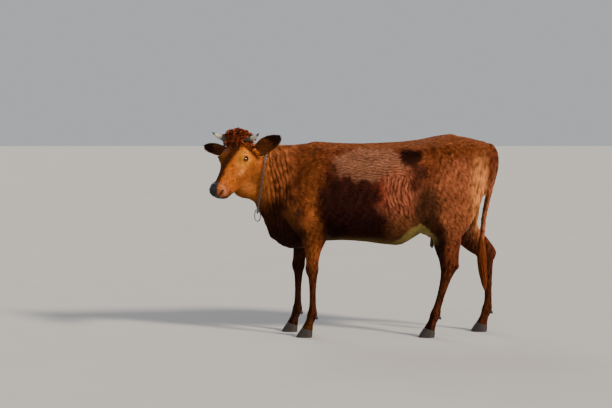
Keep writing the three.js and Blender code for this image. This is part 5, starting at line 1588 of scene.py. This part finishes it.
def hoofObject(name, x, y, z, c, node):
    walls = hoof["wallRings"]
    rise = np.concatenate([[0, 0, 0], np.linspace(0, 1, walls), [1, 1]])[:, None]
    inward = np.concatenate([[0.02, 0.5, 0.96], np.ones(walls), [0.8, 0.1]])[:, None]
    turn = np.linspace(0, 2 * math.pi, hoof["around"], endpoint=False)[None]
    toeward, outward = np.cos(turn), np.sin(turn)
    toe = np.maximum(toeward, 0)
    reach = hoof["length"] * np.where(toeward > 0, 0.66 - 0.34 * rise, 0.34 - 0.02 * rise)
    bulb = 1 + 0.05 * softStep(-toeward, 0.2, 0.9) * np.sin(math.pi * np.clip(rise, 0, 1)) * (inward == 1)
    ripple = 1 + (hoof["ringDepth"] * np.sin(rise * z / hoof["ringPitch"] * 2 * math.pi) * (inward == 1)
                  * softStep(rise, 0.02, 0.1))
    grow = inward * ripple * hoof["shrink"]
    place = x - 6 * (1 - rise) - toeward * reach * grow * bulb
    half = hoof["width"] / 2 * (1 - (1 - hoof["coronetShrink"]) * rise / 2) * (1 - 0.2 * toe ** 3)
    across = y + outward * half * grow - c * toe * toe * 5 * (1 - rise)
    top = z - hoof["slope"] * (place - x) - 0.5
    height = rise * top
    edge = softStep(rise, 0.0, 0.06)  # the rim of the wall is rounded where it meets the ground
    points = np.stack([place, across, np.where(inward == 1, height, height + (rise > 0.5) * 0.5)], -1)
    points[..., 0] += (1 - edge) * (inward == 1) * toeward * 0.8
    thing = meshObject(name, points.reshape(-1, 3), tubeFaces(len(rise), hoof["around"]), hoofMaterial)
    mendFaces(thing)
    joinModel(thing, "hoof", node)


def dewclawObject(name, x, y, z, node):  # a blunt nub that points down and back
    t = np.linspace(0, 1, dewclaw["rings"])
    way = np.array([math.sin(dewclaw["lean"]), 0, -math.cos(dewclaw["lean"])])
    line = np.array([x, y, z]) + way * ((t - 0.5) * dewclaw["length"])[:, None]
    radius = ((dewclaw["radius"] - dewclaw["taper"] * t) * (1 + 0.02 * np.sin(t * 40))
              * roundEnd(t, 0.72, 0.28, 0.004))
    points = sweptTube(line, radius, dewclaw["around"], (0, 1, 0.1))
    thing = meshObject(name, points, tubeFaces(dewclaw["rings"], dewclaw["around"]), hoofMaterial)
    mendFaces(thing)
    joinModel(thing, "hoof", node)


for side, s in (("left", 1), ("right", -1)):
    eyeObject(side, s)
hornMaterial, hoofMaterial = makeHornMaterial(), makeHoofMaterial()
for side, s in (("left", 1), ("right", -1)):
    hornObject(side, s)
for limb, sections in (("fore", foreSections), ("hind", hindSections)):
    for side, s in (("left", -1), ("right", 1)):
        (footX, footZ), (jointX, jointZ) = (sections[k][3 if s < 0 else 4] for k in ("coronet", "fetlock"))
        footY, jointY = s * sections["coronet"][2], s * sections["fetlock"][2]
        for claw, c in (("inner", -s), ("outer", s)):
            name = f"{limb}_{side}_{claw}"
            hoofObject(f"hoof_wall_{name}", footX, footY + c * (hoof["width"] / 2 + hoof["gap"]), footZ, c,
                       f"hoof_{name}")
            dewclawObject(f"dewclaw_horn_{name}", jointX + dewclaw["behind"], jointY + c * dewclaw["apart"],
                          jointZ - dewclaw["below"], f"dewclaw_{name}")
print("eyes, horns and hooves made")

# The neck chain: links threaded along a closed curve that stands off the coat, each turned to the next.
chain = {"middle": (-561, -53, 1052), "down": (-0.1554, 0, -0.9879), "spots": 30, "clearance": 6, "slack": 10,
         "pitch": 24, "width": 17, "wire": 4.6, "rings": 24, "around": 10}
ringSize = {"length": 84, "width": 46, "narrow": 40, "wire": 7, "rings": 96, "around": 16}
middle, chainDown = np.array(chain["middle"], float), np.array(chain["down"])
turn = np.arange(chain["spots"]) / chain["spots"] * 2 * math.pi
rays = np.cos(turn)[:, None] * chainDown + np.sin(turn)[:, None] * across
steps = np.arange(0, 400, 1.0)
probe = middle + rays[:, None] * steps[None, :, None]
leaves = np.argmax(fleshDistance(probe.reshape(-1, 3)).reshape(len(turn), -1) > 0, axis=1)
slack = chain["slack"] * np.maximum(np.cos(turn), 0) ** 8
chainSpots = middle + rays * (leaves + chain["width"] / 2 + chain["clearance"] + slack)[:, None]
fine = curveAlong(chainSpots, np.linspace(0, 1, 2001), closed=True)
length = np.concatenate([[0], np.cumsum(np.linalg.norm(np.diff(fine, axis=0), axis=1))])
count = int(round(length[-1] / chain["pitch"] / 2)) * 2
pitch = length[-1] / count
place = (np.arange(count) + 0.5) * pitch
centre = np.stack([np.interp(place, length, fine[:, k]) for k in range(3)], 1)
ahead = np.stack([np.interp((place + 2) % length[-1], length, fine[:, k]) for k in range(3)], 1)
tangent = unit(ahead - centre)
planeWay = np.cross(chainDown, across)
outward = unit(np.cross(tangent, planeWay))
tilt = np.where(np.arange(count) % 2 == 0, 1, -1) * math.pi / 4
wide = np.cos(tilt)[:, None] * outward + np.sin(tilt)[:, None] * planeWay
roundWay = np.linspace(0, 2 * math.pi, chain["rings"], endpoint=False)
bend, wire = chain["width"] / 2 - chain["wire"] / 2, chain["wire"] / 2
straight = (pitch + chain["wire"]) / 2 - bend  # a link is two half rings joined by straights
loop = np.stack([np.sign(np.cos(roundWay)) * straight + bend * np.cos(roundWay), bend * np.sin(roundWay)], 1)
loopOut = np.stack([np.cos(roundWay), np.sin(roundWay)], 1)
tube = np.linspace(0, 2 * math.pi, chain["around"], endpoint=False)
flatPart = loop[:, None] + wire * np.cos(tube)[None, :, None] * loopOut[:, None]
thickPart = wire * np.sin(tube)
third = np.cross(tangent, wide)
points = (centre[:, None, None] + flatPart[None, ..., 0, None] * tangent[:, None, None]
          + flatPart[None, ..., 1, None] * wide[:, None, None]
          + thickPart[None, None, :, None] * third[:, None, None])
faces = loopFaces(chain["rings"], chain["around"])
faces = (np.arange(count)[:, None, None] * (chain["rings"] * chain["around"]) + faces).reshape(-1, 4)
links = arrayMesh("chain_links", points.reshape(-1, 3), faces, steelMaterial)
mendFaces(links)
joinModel(links, "steel", "collar_chain")

# The pear-shaped link round the lowest link of the chain: a small arc above, a wide one below.
lowest = chainSpots[0]
turn = np.linspace(0, 2 * math.pi, ringSize["rings"], endpoint=False)
high = softStep(np.cos(turn), -1, 1)
radius = (ringSize["width"] + (ringSize["narrow"] - ringSize["width"]) * high) / 2 - ringSize["wire"] / 2
drop = (1 - high) * (ringSize["length"] - (ringSize["width"] + ringSize["narrow"]) / 2)
line = lowest + np.stack([radius * np.sin(turn), 0 * turn, radius * np.cos(turn) - drop], 1)
tangent = unit(np.roll(line, -1, axis=0) - np.roll(line, 1, axis=0))
out = unit(np.cross(tangent, across))
tube = np.linspace(0, 2 * math.pi, ringSize["around"], endpoint=False)[None, :, None]
points = line[:, None] + (np.cos(tube) * out[:, None] + np.sin(tube) * across) * (ringSize["wire"] / 2 - 0.2)
pear = arrayMesh("pear_link", points.reshape(-1, 3), loopFaces(ringSize["rings"], ringSize["around"]),
                 steelMaterial)
mendFaces(pear)
joinModel(pear, "steel", "collar_ring")
print("chain made")

joinModel(skin, "coat", "trunk", "neck", "head", "foreleg_left", "foreleg_right", "hindleg_left",
          "hindleg_right", "tail", "ear_left", "ear_right", "udder", "teat_fore_left", "teat_fore_right",
          "teat_hind_left", "teat_hind_right")

# The studio: a pale floor, a sun from the right, in front and high, a weak fill, a back light, the camera.
studio = {"floor": 60.0, "sky": "#e4e7ea", "skyStrength": 0.6}  # floor is its side in metres
floorCorners = np.array([[-1, -1, 0], [1, -1, 0], [1, 1, 0], [-1, 1, 0.0]]) * studio["floor"] * 500
floor = arrayMesh("studio_floor", floorCorners, np.array([[0, 1, 2, 3]]), makeFloorMaterial())
suns = {  # direction from the cow, softness as the sun's angle in degrees, strength, colour
    "key": ((5.2, -4.4, 4.4), 9, 5.4, "#fff0dc"),
    "fill": ((-4.0, -6.0, 2.0), 40, 0.3, "#e6eeff"),
    "back": ((-2.5, 6.0, 3.6), 30, 1.3, "#f2f4ff"),
}
for name, (place, wideness, power, hexColour) in suns.items():
    lamp = bpy.data.lights.new(name, "SUN")
    lamp.angle, lamp.energy, lamp.color = math.radians(wideness), power, linear(hexColour)
    thing = bpy.data.objects.new(name, lamp)
    thing.location = np.array(place)
    thing.rotation_mode = "QUATERNION"
    thing.rotation_quaternion = Vector(-np.array(place)).to_track_quat("-Z", "Y")
    bpy.context.scene.collection.objects.link(thing)
world = bpy.data.worlds.new("studio")
world.use_nodes = True
world.node_tree.nodes["Background"].inputs["Color"].default_value = rgba(studio["sky"])
world.node_tree.nodes["Background"].inputs["Strength"].default_value = studio["skyStrength"]
bpy.context.scene.world = world

view = {"target": (-286, 0, 851.5), "distance": 13.0, "elevation": 4.0, "width": 3.978, "sensor": 36.0}
rise = math.radians(view["elevation"])
away = Vector((0, -math.cos(rise), math.sin(rise)))
camera = bpy.data.cameras.new("camera")
camera.sensor_width, camera.clip_end = view["sensor"], 200
camera.lens = view["sensor"] * view["distance"] / view["width"]
cameraObject = bpy.data.objects.new("camera", camera)
cameraObject.location = Vector(toRow(np.array(view["target"]))) + away * view["distance"]
cameraObject.rotation_mode = "QUATERNION"
cameraObject.rotation_quaternion = (-away).to_track_quat("-Z", "Y")
bpy.context.scene.collection.objects.link(cameraObject)
bpy.context.scene.camera = cameraObject

print("scene ready")
